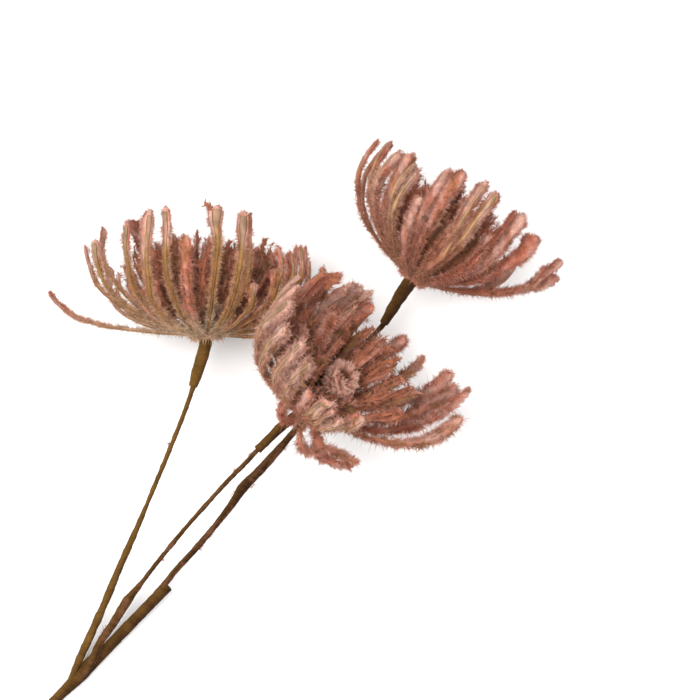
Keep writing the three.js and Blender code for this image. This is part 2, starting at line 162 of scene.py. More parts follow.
ROSE = linear(174, 101, 79)
DEEP_ROSE = linear(144, 76, 54)
DUSTY_PINK = linear(198, 168, 155)
SALMON = linear(182, 122, 92)
PALE_TAN = linear(130, 106, 74)
ASH = linear(186, 156, 127)
# UMBER is partly painted shade: it darkens the roots of the brush, the inside of the hub and of the bed, and
# the button's pit and hollows; on the ribs it is their own brown.
UMBER = linear(102, 64, 38)
DUN = linear(136, 98, 60)
OLIVE = linear(138, 98, 44)
OLIVE_LIGHT = linear(160, 128, 70)
TAN = linear(172, 134, 98)
MAUVE_GREY = linear(184, 142, 126)
print("rose in linear light:", ROSE.round(3))

# %% [markdown]
# A strap, a strand or a wire is a profile carried along a line. Each line gets three
# directions at every point: along it, across it, and out of its back. The profile's rings
# are joined by squares and each end closes in a fan of triangles, so the surface is a closed
# skin. A smooth line through given points serves the wires and the straps that droop.

# %% Rings into a closed skin
def skin(rings):
    """rings is (pieces, steps, sides, 3), each ring turning from across to the back. Returns points and
    faces: squares between neighbouring rings and a triangle fan to the middle of the first and last ring."""
    count, steps, sides, _ = rings.shape
    index = np.arange(count * steps * sides).reshape(count, steps, sides)
    nxt = np.roll(index, -1, axis=2)
    squares = np.stack([index[:, :-1], index[:, 1:], nxt[:, 1:], nxt[:, :-1]], -1).reshape(-1, 4)
    pole = count * steps * sides + np.arange(2 * count).reshape(count, 2, 1) + np.zeros((1, 1, sides), int)
    first = np.stack([pole[:, 0], index[:, 0], nxt[:, 0]], -1).reshape(-1, 3)
    last = np.stack([pole[:, 1], nxt[:, -1], index[:, -1]], -1).reshape(-1, 3)
    return on_skin(rings), [squares, np.concatenate([first, last])]


def on_skin(values):
    """Values at each ring point, (pieces, steps, sides, n), with the means of the end rings added behind."""
    poles = values[:, [0, -1]].mean(2)
    return np.concatenate([values.reshape(-1, values.shape[-1]), poles.reshape(-1, values.shape[-1])])


def put_skin(name, rings, tint, material):
    """The closed skin of the rings as an object, with the tint of each ring point."""
    points, faces = skin(rings)
    return put_mesh(name, points, faces, material, on_skin(tint))


def through(points, count):
    """A smooth line through the points: between neighbours a cubic whose slopes weigh
    the distances by their square roots, at count even steps from point to point."""
    p = np.vstack([2 * points[0] - points[1], points, 2 * points[-1] - points[-2]])
    gap = np.sqrt(np.linalg.norm(np.diff(p, axis=0), axis=1))[:, None]
    place = np.linspace(0, len(points) - 1, count)
    k = np.minimum(place.astype(int), len(points) - 2)
    w = (place - k)[:, None]
    p0, p1, p2, p3 = p[k], p[k + 1], p[k + 2], p[k + 3]
    d0, d1, d2 = gap[k], gap[k + 1], gap[k + 2]
    leave = d1 * ((p1 - p0) / d0 - (p2 - p0) / (d0 + d1) + (p2 - p1) / d1)
    arrive = d1 * ((p2 - p1) / d1 - (p3 - p1) / (d1 + d2) + (p3 - p2) / d2)
    return ((2 * w**3 - 3 * w**2 + 1) * p1 + (w**3 - 2 * w**2 + w) * leave
            + (3 * w**2 - 2 * w**3) * p2 + (w**3 - w**2) * arrive)


# %% [markdown]
# The three heads are placed as their solids are. base is the top of the collar, heading the way the
# axis points as seen from above, and lift how far the axis rises off the table, both in degrees. A
# strap is a row of nine numbers: its azimuth round the axis, the reach and rise of its tip, the
# width of its paddle, how much it bulges and sags, the twist of its paddle in degrees, how bare its
# rib is, and how light it looks. A fill is a range of azimuths, a number of straps, and the reach,
# rise, bulge and sag that they share. Drooping straps follow points. Risers are straps among the
# brush, by azimuth, reach, rise and width, and the brush is short between two azimuths.
#
# The other values are habit and colour. shaft is half a strap's width below the paddle, flare how early it
# widens, thin what the pile takes off it, and puff how far the pile swells it. pile is the flock's length,
# crowd, under 1, draws it to the tips, and loner thickens it on the first strap. rib is half a bare rib's
# width, wiped the share of the strap where it comes free, and bare how bare the fills are. tan and wood
# colour bare shafts, ash the roots, deep the lower half, dusty, dun and salmon the patches. tone and inner
# are the brightness of the straps and of the brush, and hub is the length of the fuzz at the roots.

# %% The heads
# A strap's light and a head's inner are partly the flock's own colour and partly painted light: they are
# raised where a strap or the brush lies in shade, as on the upper straps of head b and in the brush of head
# c.
HEADS = {
    "a": dict(
        base=(92.3, 162.9, 42), heading=90, lift=0, seed=11, hub=3.0, crowd=0.9, loner=2.4,
        shaft=1.5, flare=0.2, pile=2.3, thin=0.3, puff=0, rib=1.1, wiped=0.05, bare=0.5, tan=0, wood=0.45,
        ash=1.0, dusty=0.12, dun=0.7, deep=0, salmon=0.025, tone=0.95, inner=0.98,
        short=(0, 0), risers=[(33, 38.5, 51, 6.4)], drooping=[],
        straps=[
            (-2.8, 70, 19, 4.2, 0.91, 0.12, 25, 0.35, 0.5), (11.5, 55, 40, 3.9, 0.96, 0.26, 9, 0.7, 0.5),
            (24, 54, 42.4, 4.8, 1.01, 0.26, -59, 0.9, 0.75), (28, 52, 47.3, 5.6, 1.06, 0.33, 34, 0.7, 0.7),
            (47.2, 50, 50.1, 4.2, 1.15, 0.18, -31, 1, 0.4),
            (61.1, 49.2, 55.2, 6.5, 1.28, 0.04, -42, 0.7, 0.6),
            (68, 45.6, 56.4, 5.3, 1.04, 0.15, 0, 1, 0.55), (79.5, 44, 43.5, 4.8, 1.08, 0.2, 0, 0, 0.2),
            (98.1, 46.5, 56.7, 7.4, 1.05, 0.49, -18, 1, 0.7),
            (112.2, 47.4, 54, 5.7, 0.98, 0.15, 12, 1, 0.55),
            (117.8, 45.8, 53.5, 3.2, 1.04, 0.2, -68, 0.8, 0.3),
            (135.8, 47.1, 39, 3.7, 1.15, 0.2, -12, 0.5, 0.2), (148, 46, 37, 3.4, 1.08, 0.14, 0, 0.7, 0.2),
            (159, 46.5, 39.5, 4.6, 1.08, 0.12, 12, 1, 0.4), (166.8, 48, 34.4, 6, 1.08, 0.01, 0, 1, 0.5),
            (178, 53.4, 30.5, 4, 1.11, -0.2, 39, 1, 0.3),
        ],
        fills=[
            (190, 318, 11, 46, 41, 1.08, 0.18), (322, 350, 3, 44, 27, 1.08, 0.12),
            (36, 64, 2, 38, 24, 1.02, 0.22), (118, 168, 3, 40, 26, 1.02, 0.2),
        ],
    ),
    "b": dict(
        base=(136.4, 130.5, 54), heading=39.7, lift=40, seed=23, hub=2.2, crowd=0.72, loner=1,
        shaft=2.1, flare=0.8, pile=3.2, thin=0.8, puff=0.9, rib=0.85, wiped=0.25, bare=0.55, tan=0.5,
        wood=0.2, ash=0.3, dusty=0.12, dun=0.9, deep=0, salmon=0.05, tone=0.93, inner=0.95,
        short=(70, 200), risers=[(20, 24, 54, 7)],
        straps=[
            (-35.2, 45.6, 43.5, 6.2, 1.07, 0.19, 0, 0.2, 0.2),
            (-47.8, 43.8, 40.5, 7, 1.08, 0.2, -25, 0, 0.7), (-54.8, 45, 40, 8, 1.08, 0.2, 0, 0, 0.8),
            (-62.6, 43.1, 38, 6.4, 1.08, 0.2, -25, 0, 0.4), (-95.2, 44.4, 35, 6, 1.13, 0.2, -18, 0, 0.4),
            (-111.2, 48, 35, 4.6, 1.16, 0.23, 18, 0, 0.4),
            (-124.2, 53.8, 42.5, 6.9, 1.13, 0.07, 0, 0.2, 0.5),
            (-131.7, 52.2, 44, 8.6, 1.16, -0.1, -62, 0, 0.4),
            (-139.8, 53.2, 50.9, 8.3, 1.17, -0.12, 25, 0, 0.3),
            (-153.8, 53.8, 47, 6.4, 1.07, 0.06, -25, 0.5, 0.5), (36.4, 50, 59.5, 7, 1.08, 0.2, 0, 0.6, 0.9),
            (45.5, 46, 50.5, 6.3, 1.05, 0.25, -5, 0.8, 0.9), (58, 43, 54.8, 6, 0.99, 0.3, 0, 0.7, 0.9),
            (68, 38, 50, 6, 0.95, 0.3, 0, 0.3, 0.95),
        ],
        fills=[
            (-22, 30, 6, 44, 52, 1.08, 0.2), (78, 150, 7, 24, 33, 0.92, 0.4),
            (-74, -36, 3, 40, 44, 1.08, 0.2),
        ],
        drooping=[
            [(-3, 3, 2), (-5.5, 6.6, -0.6), (-11, 9.4, -5.6), (-16, 7.8, -7.5), (-20, 4.6, -5)],
            [(-4, 0.4, 2), (-7.7, 0.4, 0), (-14, 1, -4.6), (-22, 1.8, -7.8), (-33.6, -1.4, -1)],
            [(-4, 2, 3), (-8, 4.4, 2.6), (-16.1, 5.2, 0.8), (-25.9, 4.4, 3.4), (-33.9, 2.4, 6.4)],
            [(-1, 4, 2.6), (-1, 11, 0.4), (4, 15.5, 1), (8, 15.5, 6)],
        ],
    ),
    "c": dict(
        base=(185, 189, 41), heading=55.2, lift=0, seed=37, hub=1.8, crowd=0.75, loner=1,
        shaft=2.1, flare=0.6, pile=2.5, thin=0.6, puff=0.35, rib=0.95, wiped=0.6, bare=0.3, tan=0.65,
        wood=0.2, ash=0.15, dusty=-0.02, dun=0.5, deep=0.45, salmon=0.02, tone=0.81, inner=1.25,
        short=(150, 205), risers=[(80, 34, 45, 4.6), (112, 30, 42, 5)], drooping=[],
        straps=[
            (2.6, 48.6, 42, 4.8, 1.05, 0.15, -12, 0.3, 0.3),
            (21.9, 46.8, 44, 4.7, 1.03, 0.26, -12, 0.4, 0.3), (39, 48, 42.5, 7.4, 1.17, 0.23, 0, 0.3, 0.8),
            (47.6, 47, 44.6, 6, 1.1, 0.2, -5, 0.1, 0.6), (51, 46, 41.6, 4.2, 1.08, 0.2, 25, 1, 0.8),
            (56.2, 46, 38, 3.8, 1.08, 0.2, 0, 1, 0.9), (72, 45.4, 47.5, 8.4, 1.15, 0.2, 25, 0.2, 0.6),
            (79.5, 48.8, 50.1, 7.4, 1.12, 0.23, 25, 0, 0.5), (93.4, 46, 52.5, 5.4, 1.08, 0.2, 0, 0.6, 0.6),
            (101, 48.3, 50.8, 5.8, 1.02, 0.23, 0, 0.8, 0.6),
            (114.4, 49.2, 48.9, 3.8, 1.14, 0.2, -68, 0, 0.1),
            (121.6, 47.4, 49.9, 7.8, 1.01, 0.2, 0, 0, 0.6), (135.9, 48, 45.7, 8.6, 1.03, 0.33, 26, 0, 0.4),
            (157.1, 50.8, 37.2, 4.6, 1.02, 0.41, -25, 0.3, 0.4),
            (169.4, 52.1, 43.4, 6.8, 0.86, 0.32, 34, 0, 0.5),
            (178.4, 53.3, 37.9, 6.8, 0.81, 0.36, 55, 0.1, 0.6),
        ],
        fills=[
            (206, 250, 4, 40, 28, 0.95, 0.26), (250, 290, 4, 45, 44, 1.08, 0.2),
            (292, 318, 2, 42, 33, 1.08, 0.2), (320, 350, 3, 45, 42, 1.08, 0.2),
            (60, 132, 3, 42, 32, 1.04, 0.2),
        ],
    ),
}
for key, head in HEADS.items():
    in_fills = sum(fill[2] for fill in head["fills"])
    print("head", key, "has", len(head["straps"]) + in_fills + len(head["drooping"]), "straps")


# %% [markdown]
# A strap leaves the hub, bows out and turns up. Three points draw that as a quadratic curve: a
# start on the hub, an end at the tip, and one point out and low that bends it. The table holds up
# whatever would hang below it, and each line strays a little, because no moulded strap is true.

# %% Lines of the straps
LINE_STEPS = 49
PRESS_HEIGHT = 1.1
PRESS_SOFTNESS = 1.2
STRAY = 0.45
TWIST = 0.45
TIP_GROWTH = 1.5


def bowed(azimuth, root_radius, root_height, reach, rise, bulge, sag, sway):
    """(1-t)^2 start + 2t(1-t) middle + t^2 end for every strap at once, in the head's own frame, where Z
    is the axis. The middle lies at bulge times the reach and sag times the rise. azimuth is an array."""
    a = np.radians(azimuth)
    out = np.stack([np.cos(a), np.sin(a), 0 * a], -1)
    across = np.stack([-np.sin(a), np.cos(a), 0 * a], -1)
    up = np.array([0, 0, 1.0])
    start = out * np.c_[root_radius] + up * np.c_[root_height]
    middle = out * np.c_[bulge * reach] + up * np.c_[root_height + sag * rise]
    end = out * np.c_[reach] + across * np.c_[sway] + up * np.c_[rise]
    t = np.linspace(0, 1, LINE_STEPS)[None, :, None]
    return (1 - t) ** 2 * start[:, None] + 2 * t * (1 - t) * middle[:, None] + t**2 * end[:, None]


def axes_of(head):
    """The head's own X (left of its heading), Y (up as far as the lift lets it) and Z (its axis), as rows."""
    h, e = np.radians(head["heading"]), np.radians(head["lift"])
    left = np.array([-np.sin(h), np.cos(h), 0])
    axis = np.array([np.cos(e) * np.cos(h), np.cos(e) * np.sin(h), np.sin(e)])
    return np.array([left, np.cross(axis, left), axis])


def in_part(head, local):
    """Points of the head's own frame in the part's."""
    return local @ axes_of(head) + np.array(head["base"]) - SPRAY_MIDDLE


def framed(head, lines, twist=0):
    """The lines in the part's frame with three directions at each point. Two sine waves of half a
    millimetre make each line stray. Heights h under about 1 mm are raised to
    1.1 + 1.2 log(1 + exp((h - 1.1) / 1.2)), which never goes below the table. The direction across
    is level with the hub, square to the line, and to the left as seen from outside. Towards the tip
    it turns about the line by the twist, in degrees, and by up to TWIST, in radians, at random."""
    away = lines[:, -1] * [1, 1, 0]
    level = unit(np.stack([-away[:, 1], away[:, 0], 0 * away[:, 0]], -1)) @ axes_of(head)
    random = np.random.default_rng(head["seed"] + len(lines))
    t = np.linspace(0, 1, LINE_STEPS)[None, :, None]
    phase = random.uniform(0, 6.28, (2, len(lines), 1, 3))
    pace = random.uniform(5, 13, (2, len(lines), 1, 3))
    stray = np.sin(pace[0] * t + phase[0]) + 0.5 * np.sin(1.7 * pace[1] * t + phase[1])
    world = in_part(head, lines + STRAY * stray * ease(0.15, 0.6, t) * (1 - 0.5 * ease(0.8, 1, t)))
    over = (world[..., 2] - PRESS_HEIGHT) / PRESS_SOFTNESS
    world[..., 2] = PRESS_HEIGHT + PRESS_SOFTNESS * np.logaddexp(0, over)
    along = unit(np.gradient(world, axis=1))
    across = unit(level[:, None] - along * np.sum(level[:, None] * along, -1, keepdims=True))
    back = np.cross(across, along)
    twist = np.radians(np.broadcast_to(twist, len(lines)))[:, None, None]
    turn = TWIST * random.uniform(-1, 1, (len(lines), 1, 1)) * ease(0.1, 0.9, t) + twist * ease(0.45, 0.9, t)
    return dict(line=world, along=along, across=across * np.cos(turn) + back * np.sin(turn),
                back=back * np.cos(turn) - across * np.sin(turn))


def at(field, s, t):
    """The field's value on line s at the share t of its length, between the two nearest steps."""
    place = np.clip(t, 0, 1) * (field.shape[1] - 1)
    k = np.minimum(place.astype(int), field.shape[1] - 2)
    w = place - k
    if field.ndim == 3:
        w = w[..., None]
    return field[s, k] * (1 - w) + field[s, k + 1] * w


# %% [markdown]
# A head's outer ring has three kinds of straps. The ones that show have a
# row each. The hidden ones fill ranges of azimuth by seeded draws, as in
# the solids. In front of head b, four droop along points of their own.

# %% The outer rings
STRAP_ROOT_RADIUS, STRAP_ROOT_HEIGHT = 4, 1.6
FILL_WIDTH, FILL_WIDER = 3.8, 3
FILL_STREWN = dict(azimuth=0.3, reach=6, rise=8, sway=6)
CURL = dict(width=4.2, bare=0.1, light=0.35)
PILE_ON = dict(placed=1.5, filled=0.6, drooping=2.4)
FULL_PILE = 1.3


def filled(head):
    """Rows for the fills, of a strap's nine numbers and its sway: each strap stands near the middle of its
    share of the range, and the seeded draws strew its azimuth, reach, rise, width, bareness and light."""
    seeded = draws(head["seed"], 5 * sum(fill[2] for fill in head["fills"])).reshape(-1, 5)
    rows, done = [], 0
    for low, high, count, reach, rise, bulge, sag in head["fills"]:
        d = seeded[done:done + count]
        done += count
        middle = np.arange(count) + 0.5 + FILL_STREWN["azimuth"] * (d[:, 0] - 0.5)
        rows.append(np.column_stack([
            low + (high - low) * middle / count, reach + FILL_STREWN["reach"] * (d[:, 1] - 0.5),
            rise + FILL_STREWN["rise"] * (d[:, 2] - 0.5), FILL_WIDTH + FILL_WIDER * d[:, 4],
            np.full((count, 3), [bulge, sag, 0]), head["bare"] * 2 * d[:, 3], d[:, 1],
            FILL_STREWN["sway"] * (d[:, 3] - 0.5)]))
    return np.vstack(rows)


def outer_lines(head):
    """The head's straps as lines with their widths and finishes. left is the cosine of the azimuth, grow what
    the flock adds beyond the tip, and dense how much of the flock each draws, less where its rib is bare."""
    placed, curls = len(head["straps"]), len(head["drooping"])
    rows = np.vstack([np.column_stack([head["straps"], np.zeros(placed)]), filled(head)])
    azimuth, reach, rise, width, bulge, sag, twist, bare, light, sway = rows.T
    lines = bowed(azimuth, STRAP_ROOT_RADIUS, STRAP_ROOT_HEIGHT, reach, rise, bulge, sag, sway)
    drooping = [through(np.array(points, float), LINE_STEPS)[None] for points in head["drooping"]]

    def and_curls(values, value):
        """The values, with the same one more for each drooping strap."""
        return np.append(values, [value] * curls)

    ring = framed(head, np.concatenate([lines, *drooping]), and_curls(twist, 0))
    ring.update(width=and_curls(width, CURL["width"]), bare=and_curls(bare, CURL["bare"]),
                light=and_curls(light, CURL["light"]), left=and_curls(np.cos(np.radians(azimuth)), 0.0),
                grow=and_curls(TIP_GROWTH + 0 * width, 0),
                dense=np.repeat(list(PILE_ON.values()), [placed, len(width) - placed, curls]))
    ring["dense"][placed:] *= FULL_PILE - ring["bare"][placed:]
    ring["dense"][0] *= head["loner"]
    return ring


rings = {key: outer_lines(head) for key, head in HEADS.items()}
for key, ring in rings.items():
    lengths = np.linalg.norm(np.diff(ring["line"], axis=1), axis=-1).sum(1)
    print("head", key, "has straps of", lengths.min().round(), "to", lengths.max().round(), "mm")


# %% [markdown]
# The strap itself is a flat, slightly cupped band that widens into a paddle with a round
# end. On its back runs a bare moulded rib, and flock covers the rest. Its surface is a
# function of two numbers: how far along the strap, and how far round the profile. The same
# function later tells where each hair stands, and another like it gives the colour there.

# %% The strap's surface
SHARES = np.array([0, 0.2, 0.42, 0.64, 0.82, 0.94, 1])
ROOT_HALF, NECK_HALF, LEAST_HALF = 0.7, 1.1, 0.55
BACK_DEPTH, FRONT_DEPTH = 0.45, 0.55
CUP = 0.5
CLOSING = 0.05


def mottle(s, t, turn):
    """Patches of a few millimetres that change from strap to strap: two products of sine waves, -1 to 1."""
    wide = np.sin(19 * t + 3.1 * s + 2 * np.cos(turn)) * np.sin(11 * t + 5.3 * s + 1.5 * np.sin(turn))
    fine = np.sin(47 * t + 1.7 * s + 3 * np.cos(turn)) * np.sin(29 * t + 2.9 * s - 2 * np.sin(turn))
    return 0.6 * wide + 0.4 * fine


def half_width(head, ring, s, t):
    """Half the band's width: ROOT_HALF at the root, then the shaft, then the
    paddle, less what the pile takes, eased between the stations at SHARES,
    and closed at the end by the root of 1 - w^2 over the last 5%."""
    tip = ring["width"] / 2
    shaft = np.minimum(head["shaft"] * (1 - 0.35 * ease(0.45, 0.8, ring["bare"])), tip)
    flare = head["flare"]
    table = np.stack([ROOT_HALF + 0 * tip, NECK_HALF + 0 * tip, shaft, shaft + 0.5 * flare * (tip - shaft),
                      shaft + (0.35 + 0.5 * flare) * (tip - shaft), tip, 0.94 * tip], -1)
    k = np.clip(np.searchsorted(SHARES, t, side="right") - 1, 0, len(SHARES) - 2)
    w = ease(0, 1, (t - SHARES[k]) / (SHARES[k + 1] - SHARES[k]))
    half = table[s, k] * (1 - w) + table[s, k + 1] * w - head["thin"] * (1 - 0.4 * ease(0.6, 0.9, t))
    end = np.clip((t - 1 + CLOSING) / CLOSING, 0, 1)
    ripple = 1 + 0.1 * np.sin(31 * t + 2.3 * s) * np.sin(57 * t + 1.7 * s)
    return np.maximum(half * ripple, LEAST_HALF) * np.sqrt(1 - end**2 * 0.985)


def spine(ring, s, t):
    """The line's own point, pushed along by what the flock adds beyond the tip."""
    return at(ring["line"], s, t) + at(ring["along"], s, t) * (ring["grow"][s] * ease(0.75, 1, t))[..., None]


def cupped(x, half, t):
    """How far the profile's edge at x is drawn inwards, cup x^2 / half, and the
    slope there. The cup grows from nothing on the shaft to CUP on the paddle."""
    cup, half = CUP * ease(0.55, 0.95, t), np.maximum(half, 0.5)
    return cup * x * x / half, 2 * cup * x / half


def band(head, ring, s, t, turn):
    """A point of the band and its outward normal. The profile is an ellipse, 1 mm thick and as wide as
    the band, with its edges cupped, so that the back is convex. Where its pile is thick, it puffs up."""
    half = half_width(head, ring, s, t)
    puff = head["puff"] * ease(0.25, 0.6, t) * (1 + 0.8 * mottle(s, t, turn)) * np.sqrt(half / 3)
    thick = np.where(np.sin(turn) > 0, BACK_DEPTH, FRONT_DEPTH) * (1 - 0.3 * ease(0.7, 1, t)) + puff
    x = half * np.cos(turn)
    drop, slope = cupped(x, half, t)
    y = thick * np.sin(turn) - drop
    across, back = at(ring["across"], s, t), at(ring["back"], s, t)
    point = spine(ring, s, t) + across * x[..., None] + back * y[..., None]
    out = unit(across * (np.cos(turn) / half)[..., None] + back * (np.sin(turn) / thick)[..., None])
    return point, unit(out + across * (np.maximum(np.sin(turn), 0) * slope)[..., None])


def band_tint(head, ring, s, t, turn):
    """Rose or deeper by strap, dusty where it is light, with salmon on the back
    and dun in patches. It is deeper at the edges, painted shade that rounds the band, and, by head,
    in the lower half, olive on bare shafts, and ashen near the hub, further out on the left."""
    patch = mottle(s, t, turn)
    # Partly painted light: the strap's light, raised where it lies in shade, turns it from deep rose to rose
    # and dusty pink.
    light = ring["light"][s] + 0.6 * patch + head["dusty"]
    tint = mixed(DEEP_ROSE, ROSE, ease(-0.3, 0.6, light))
    tint = mixed(tint, DUSTY_PINK, 0.65 * ease(0.2, 1, light) * ease(0.2, 0.8, t))
    tint = mixed(tint, SALMON, head["salmon"] * ease(0.1, 0.8, np.sin(turn)))
    tint = mixed(tint, DUN, head["dun"] * ease(0, 0.6, -patch) * ease(-0.5, 0.5, np.sin(3 * s)))
    # Painted shade: the band's edges are deepened towards deep rose, as if they turned away from the light.
    tint = mixed(tint, DEEP_ROSE, 0.3 * ease(0.6, 1, np.abs(np.cos(turn))))
    tint = mixed(tint, DEEP_ROSE, head["deep"] * (1 - ease(0.3, 0.65, t)))
    tint = mixed(tint, OLIVE_LIGHT, head["wood"] * ring["bare"][s] * (1 - ease(0.7, 0.9, t)))
    return head["tone"] * mixed(tint, ASH, head["ash"] * (1 - ease(0.08, 0.45 + 0.3 * ring["left"][s], t)))


# %% [markdown]
# Real flock is cut fibre standing on end, so it scatters light softly, with a pale sheen at
# grazing angles and no gloss. The painted tint comes from the mesh, and two noises add blotches
# and speckle. Painting on the mesh lets a colour follow a strap, and noise in the finish is finer
# than the mesh. The ribs are moulded plastic and get the same small node tree with other numbers.

# %% Node helpers
def node(tree, kind, operation=None, **inputs):
    """A new node; inputs whose value is a socket are linked, and the rest are set. _0 means the first."""
    made = tree.nodes.new("ShaderNode" + kind)
    if operation:
        made.operation = operation
    for name, value in inputs.items():
        socket = made.inputs[int(name[1:]) if name[0] == "_" else name.replace("_", " ")]
        if isinstance(value, bpy.types.NodeSocket):
            tree.links.new(value, socket)
        else:
            socket.default_value = value
    return made


def new_finish(name, **fixed):
    """A material with one Principled shader, its fixed sockets set, and a painted colour to start from."""
    material = bpy.data.materials.new(name)
    material.use_nodes = True
    tree = material.node_tree
    shader = tree.nodes["Principled BSDF"]
    for socket, value in fixed.items():
        shader.inputs[socket.replace("_", " ")].default_value = value
    painted = tree.nodes.new("ShaderNodeAttribute")
    painted.attribute_name = TINT
    place = tree.nodes.new("ShaderNodeTexCoord").outputs["Object"]
    return material, tree, shader, painted.outputs["Color"], place


def spanned(tree, value, low, high):
    """A noise's middle range, 0.3 to 0.7, spread from low to high."""
    span = node(tree, "MapRange", Value=value, From_Min=0.3, From_Max=0.7, To_Min=low, To_Max=high)
    return span.outputs["Result"]


def blotched(tree, colour, place, scale, low, high, detail=2.0):
    """The colour times a noise that runs from low to high, and the noise."""
    noise = node(tree, "TexNoise", Vector=place, Scale=scale, Detail=detail).outputs["Fac"]
    scaled = node(tree, "VectorMath", "MULTIPLY", _0=colour, _1=spanned(tree, noise, low, high))
    return scaled.outputs[0], noise


def covered(tree, shader, colour, height, strength, distance):
    """The shader takes the colour, and a bump of that height, strength and distance in metres."""
    bump = node(tree, "Bump", Strength=strength, Distance=distance, Height=height)
    tree.links.new(colour, shader.inputs["Base Color"])
    tree.links.new(bump.outputs["Normal"], shader.inputs["Normal"])


# %% Flock and rib finishes
def speckled(name, blotches, speckle, bump, **fixed):
    """The painted tint with blotches and speckle, each a scale per metre
    and a lowest and highest factor, and a bump from the speckle."""
    material, tree, shader, colour, place = new_finish(name, **fixed)
    colour, _ = blotched(tree, colour, place, *blotches)
    colour, grain = blotched(tree, colour, place, *speckle)
    covered(tree, shader, colour, grain, *bump)
    return material


FLOCK = speckled("flock", (240.0, 0.8, 1.24), (1200.0, 0.84, 1.18), (1.0, 0.0005), Roughness=0.95,
                 Specular_IOR_Level=0.15, Sheen_Weight=0.26, Sheen_Roughness=0.5,
                 Sheen_Tint=(1.0, 0.82, 0.78, 1.0))
RIB = speckled("rib", (260.0, 0.75, 1.2), (1600.0, 0.9, 1.1), (0.3, 0.0002), Roughness=0.5,
               Specular_IOR_Level=0.3)
print("finishes:", FLOCK.name, RIB.name)

# %% [markdown]
# Now the bands. A grid of shares along and turns round goes through the surface function for all
# straps of a head at once. The steps come closer together near the tip, where the paddle rounds off.

# %% Bands
BAND_STEPS, BAND_SIDES = 30, 10
UNDER_FLOCK = 1.1


def grid(count, steps, sides, crowd=0.6):
    """Indices (count, steps, sides): which line, its share along, and the turn round.
    The shares are 1 - (1 - u)^(1 + crowd), so that they crowd towards the tip."""
    s, u, j = np.meshgrid(np.arange(count), np.linspace(0, 1, steps), np.arange(sides), indexing="ij")
    return s, 1 - (1 - u) ** (1 + crowd), j * 2 * np.pi / sides


def make_bands(key):
    """A head's straps, a little brighter than their flock, because it shades them."""
    head, ring = HEADS[key], rings[key]
    place = grid(len(ring["line"]), BAND_STEPS, BAND_SIDES)
    tint = UNDER_FLOCK * band_tint(head, ring, *place)
    piece = put_skin("bands_" + key, band(head, ring, *place)[0], tint, FLOCK)
    return dress(piece, "straps", "straps_" + key)


triangles = sum(make_bands(key) for key in HEADS)

# %% [markdown]
# The rib on a strap's back stays bare, because the flock there was wiped
# off or never stuck. It is a rounded bar sunk into the band, which spreads
# over the back of the paddle. Straps that are flocked all over have none.

# %% Ribs
RIB_STEPS, RIB_SIDES = 30, 8
RIB_HEIGHT, BLOT_HEIGHT = 0.55, 0.16
LEAST_BARE = 0.25


def rib(head, ring, s, t, turn):
    """The bar's half width is head["rib"] on the shaft and 0.62 of the band's
    on the paddle, times how bare the strap is. It follows the band's back,
    depth * sqrt(1 - (x / half)^2) less the cup, and swells above it."""
    half = half_width(head, ring, s, t)
    bare = ring["bare"][s]
    spread = ease(0.8, 0.92, t)
    grown = 0.1 + 0.9 * ease(head["wiped"] - 0.1, head["wiped"] + 0.15, t)
    shaft = head["rib"] * (0.55 + 0.45 * bare) * grown * (1 - spread)
    x = np.minimum(shaft + 0.62 * bare * half * spread, 0.9 * half) * np.cos(turn)
    over = BACK_DEPTH * np.sqrt(1 - (x / half) ** 2) - cupped(x, half, t)[0]
    swell = RIB_HEIGHT * grown * (1 - spread) + BLOT_HEIGHT * spread
    y = over + head["puff"] * 0.8 * ease(0.25, 0.6, t) + swell * np.sin(turn)
    across, back = at(ring["across"], s, t), at(ring["back"], s, t)
    return spine(ring, s, t) + across * x[..., None] + back * y[..., None]


def make_ribs(key):
    """The ribs of the straps that have one, olive brown on the shaft
    and pale tan with pink blots on the paddle."""
    head, ring = HEADS[key], rings[key]
    bare = np.flatnonzero(ring["bare"] > LEAST_BARE)
    s, t, turn = grid(len(bare), RIB_STEPS, RIB_SIDES, 0.5)
    s, t = bare[s], 0.02 + 0.96 * t
    wave = 0.5 + 0.5 * np.sin(9 * t + 2 * s) * np.sin(23 * t + 5 * s)
    shaft = mixed(mixed(UMBER, OLIVE, 0.35 + 0.65 * wave), OLIVE_LIGHT, ease(0.5, 0.9, t) * (1 - wave) * 0.6)
    shaft = mixed(shaft, TAN, head["tan"] + 0 * t)
    paddle = mixed(PALE_TAN, mixed(ROSE, DUSTY_PINK, 0.4), ease(-0.2, 0.9, mottle(s, t, turn)))
    tint = mixed(shaft, paddle, ease(0.78, 0.9, t))
    return dress(put_skin("ribs_" + key, rib(head, ring, s, t, turn), tint, RIB), "straps")


triangles += sum(make_ribs(key) for key in HEADS)

# %% [markdown]
# Flock is what one sees first, and it has to be real geometry, because hair curves would be lost in an
# exported model. Each fibre is a bent blade of two triangles, the least that can curl. Real flock clings
# together, so the fibres stand in tufts that share an aim, a height and a shade, which makes the ragged pile.

# %% Fibres and tufts
TUFT = 8
SUNK = 0.1
FIBRE_HALF = (0.06, 0.17)
ROOT_OLIVE = 0.2
APEX_DUST = 0.14


def fibres(roots, ways, curl, half, face):
    """Two triangles each: from its root the fibre widens to the middle of its way, and narrows
    to an apex that the curl carries aside. The blade's front looks the way of face as far as
    it can: across it lies side = face x way, and its front is way x side. A blade whose front
    would look down is turned over. Returns points (4 each), faces and the fronts."""
    side = unit(np.cross(face, ways))
    side *= np.where(np.cross(ways, side)[:, 2:] < 0, -1, 1)
    front = unit(np.cross(ways, side))
    middle = roots + 0.5 * ways
    wide = side * np.c_[half]
    points = np.stack([roots, middle - wide, middle + wide, roots + ways + curl], 1).reshape(-1, 3)
    corner = 4 * np.arange(len(roots))[:, None, None]
    return points, [(corner + np.array([[0, 1, 2], [2, 1, 3]])).reshape(-1, 3)], front


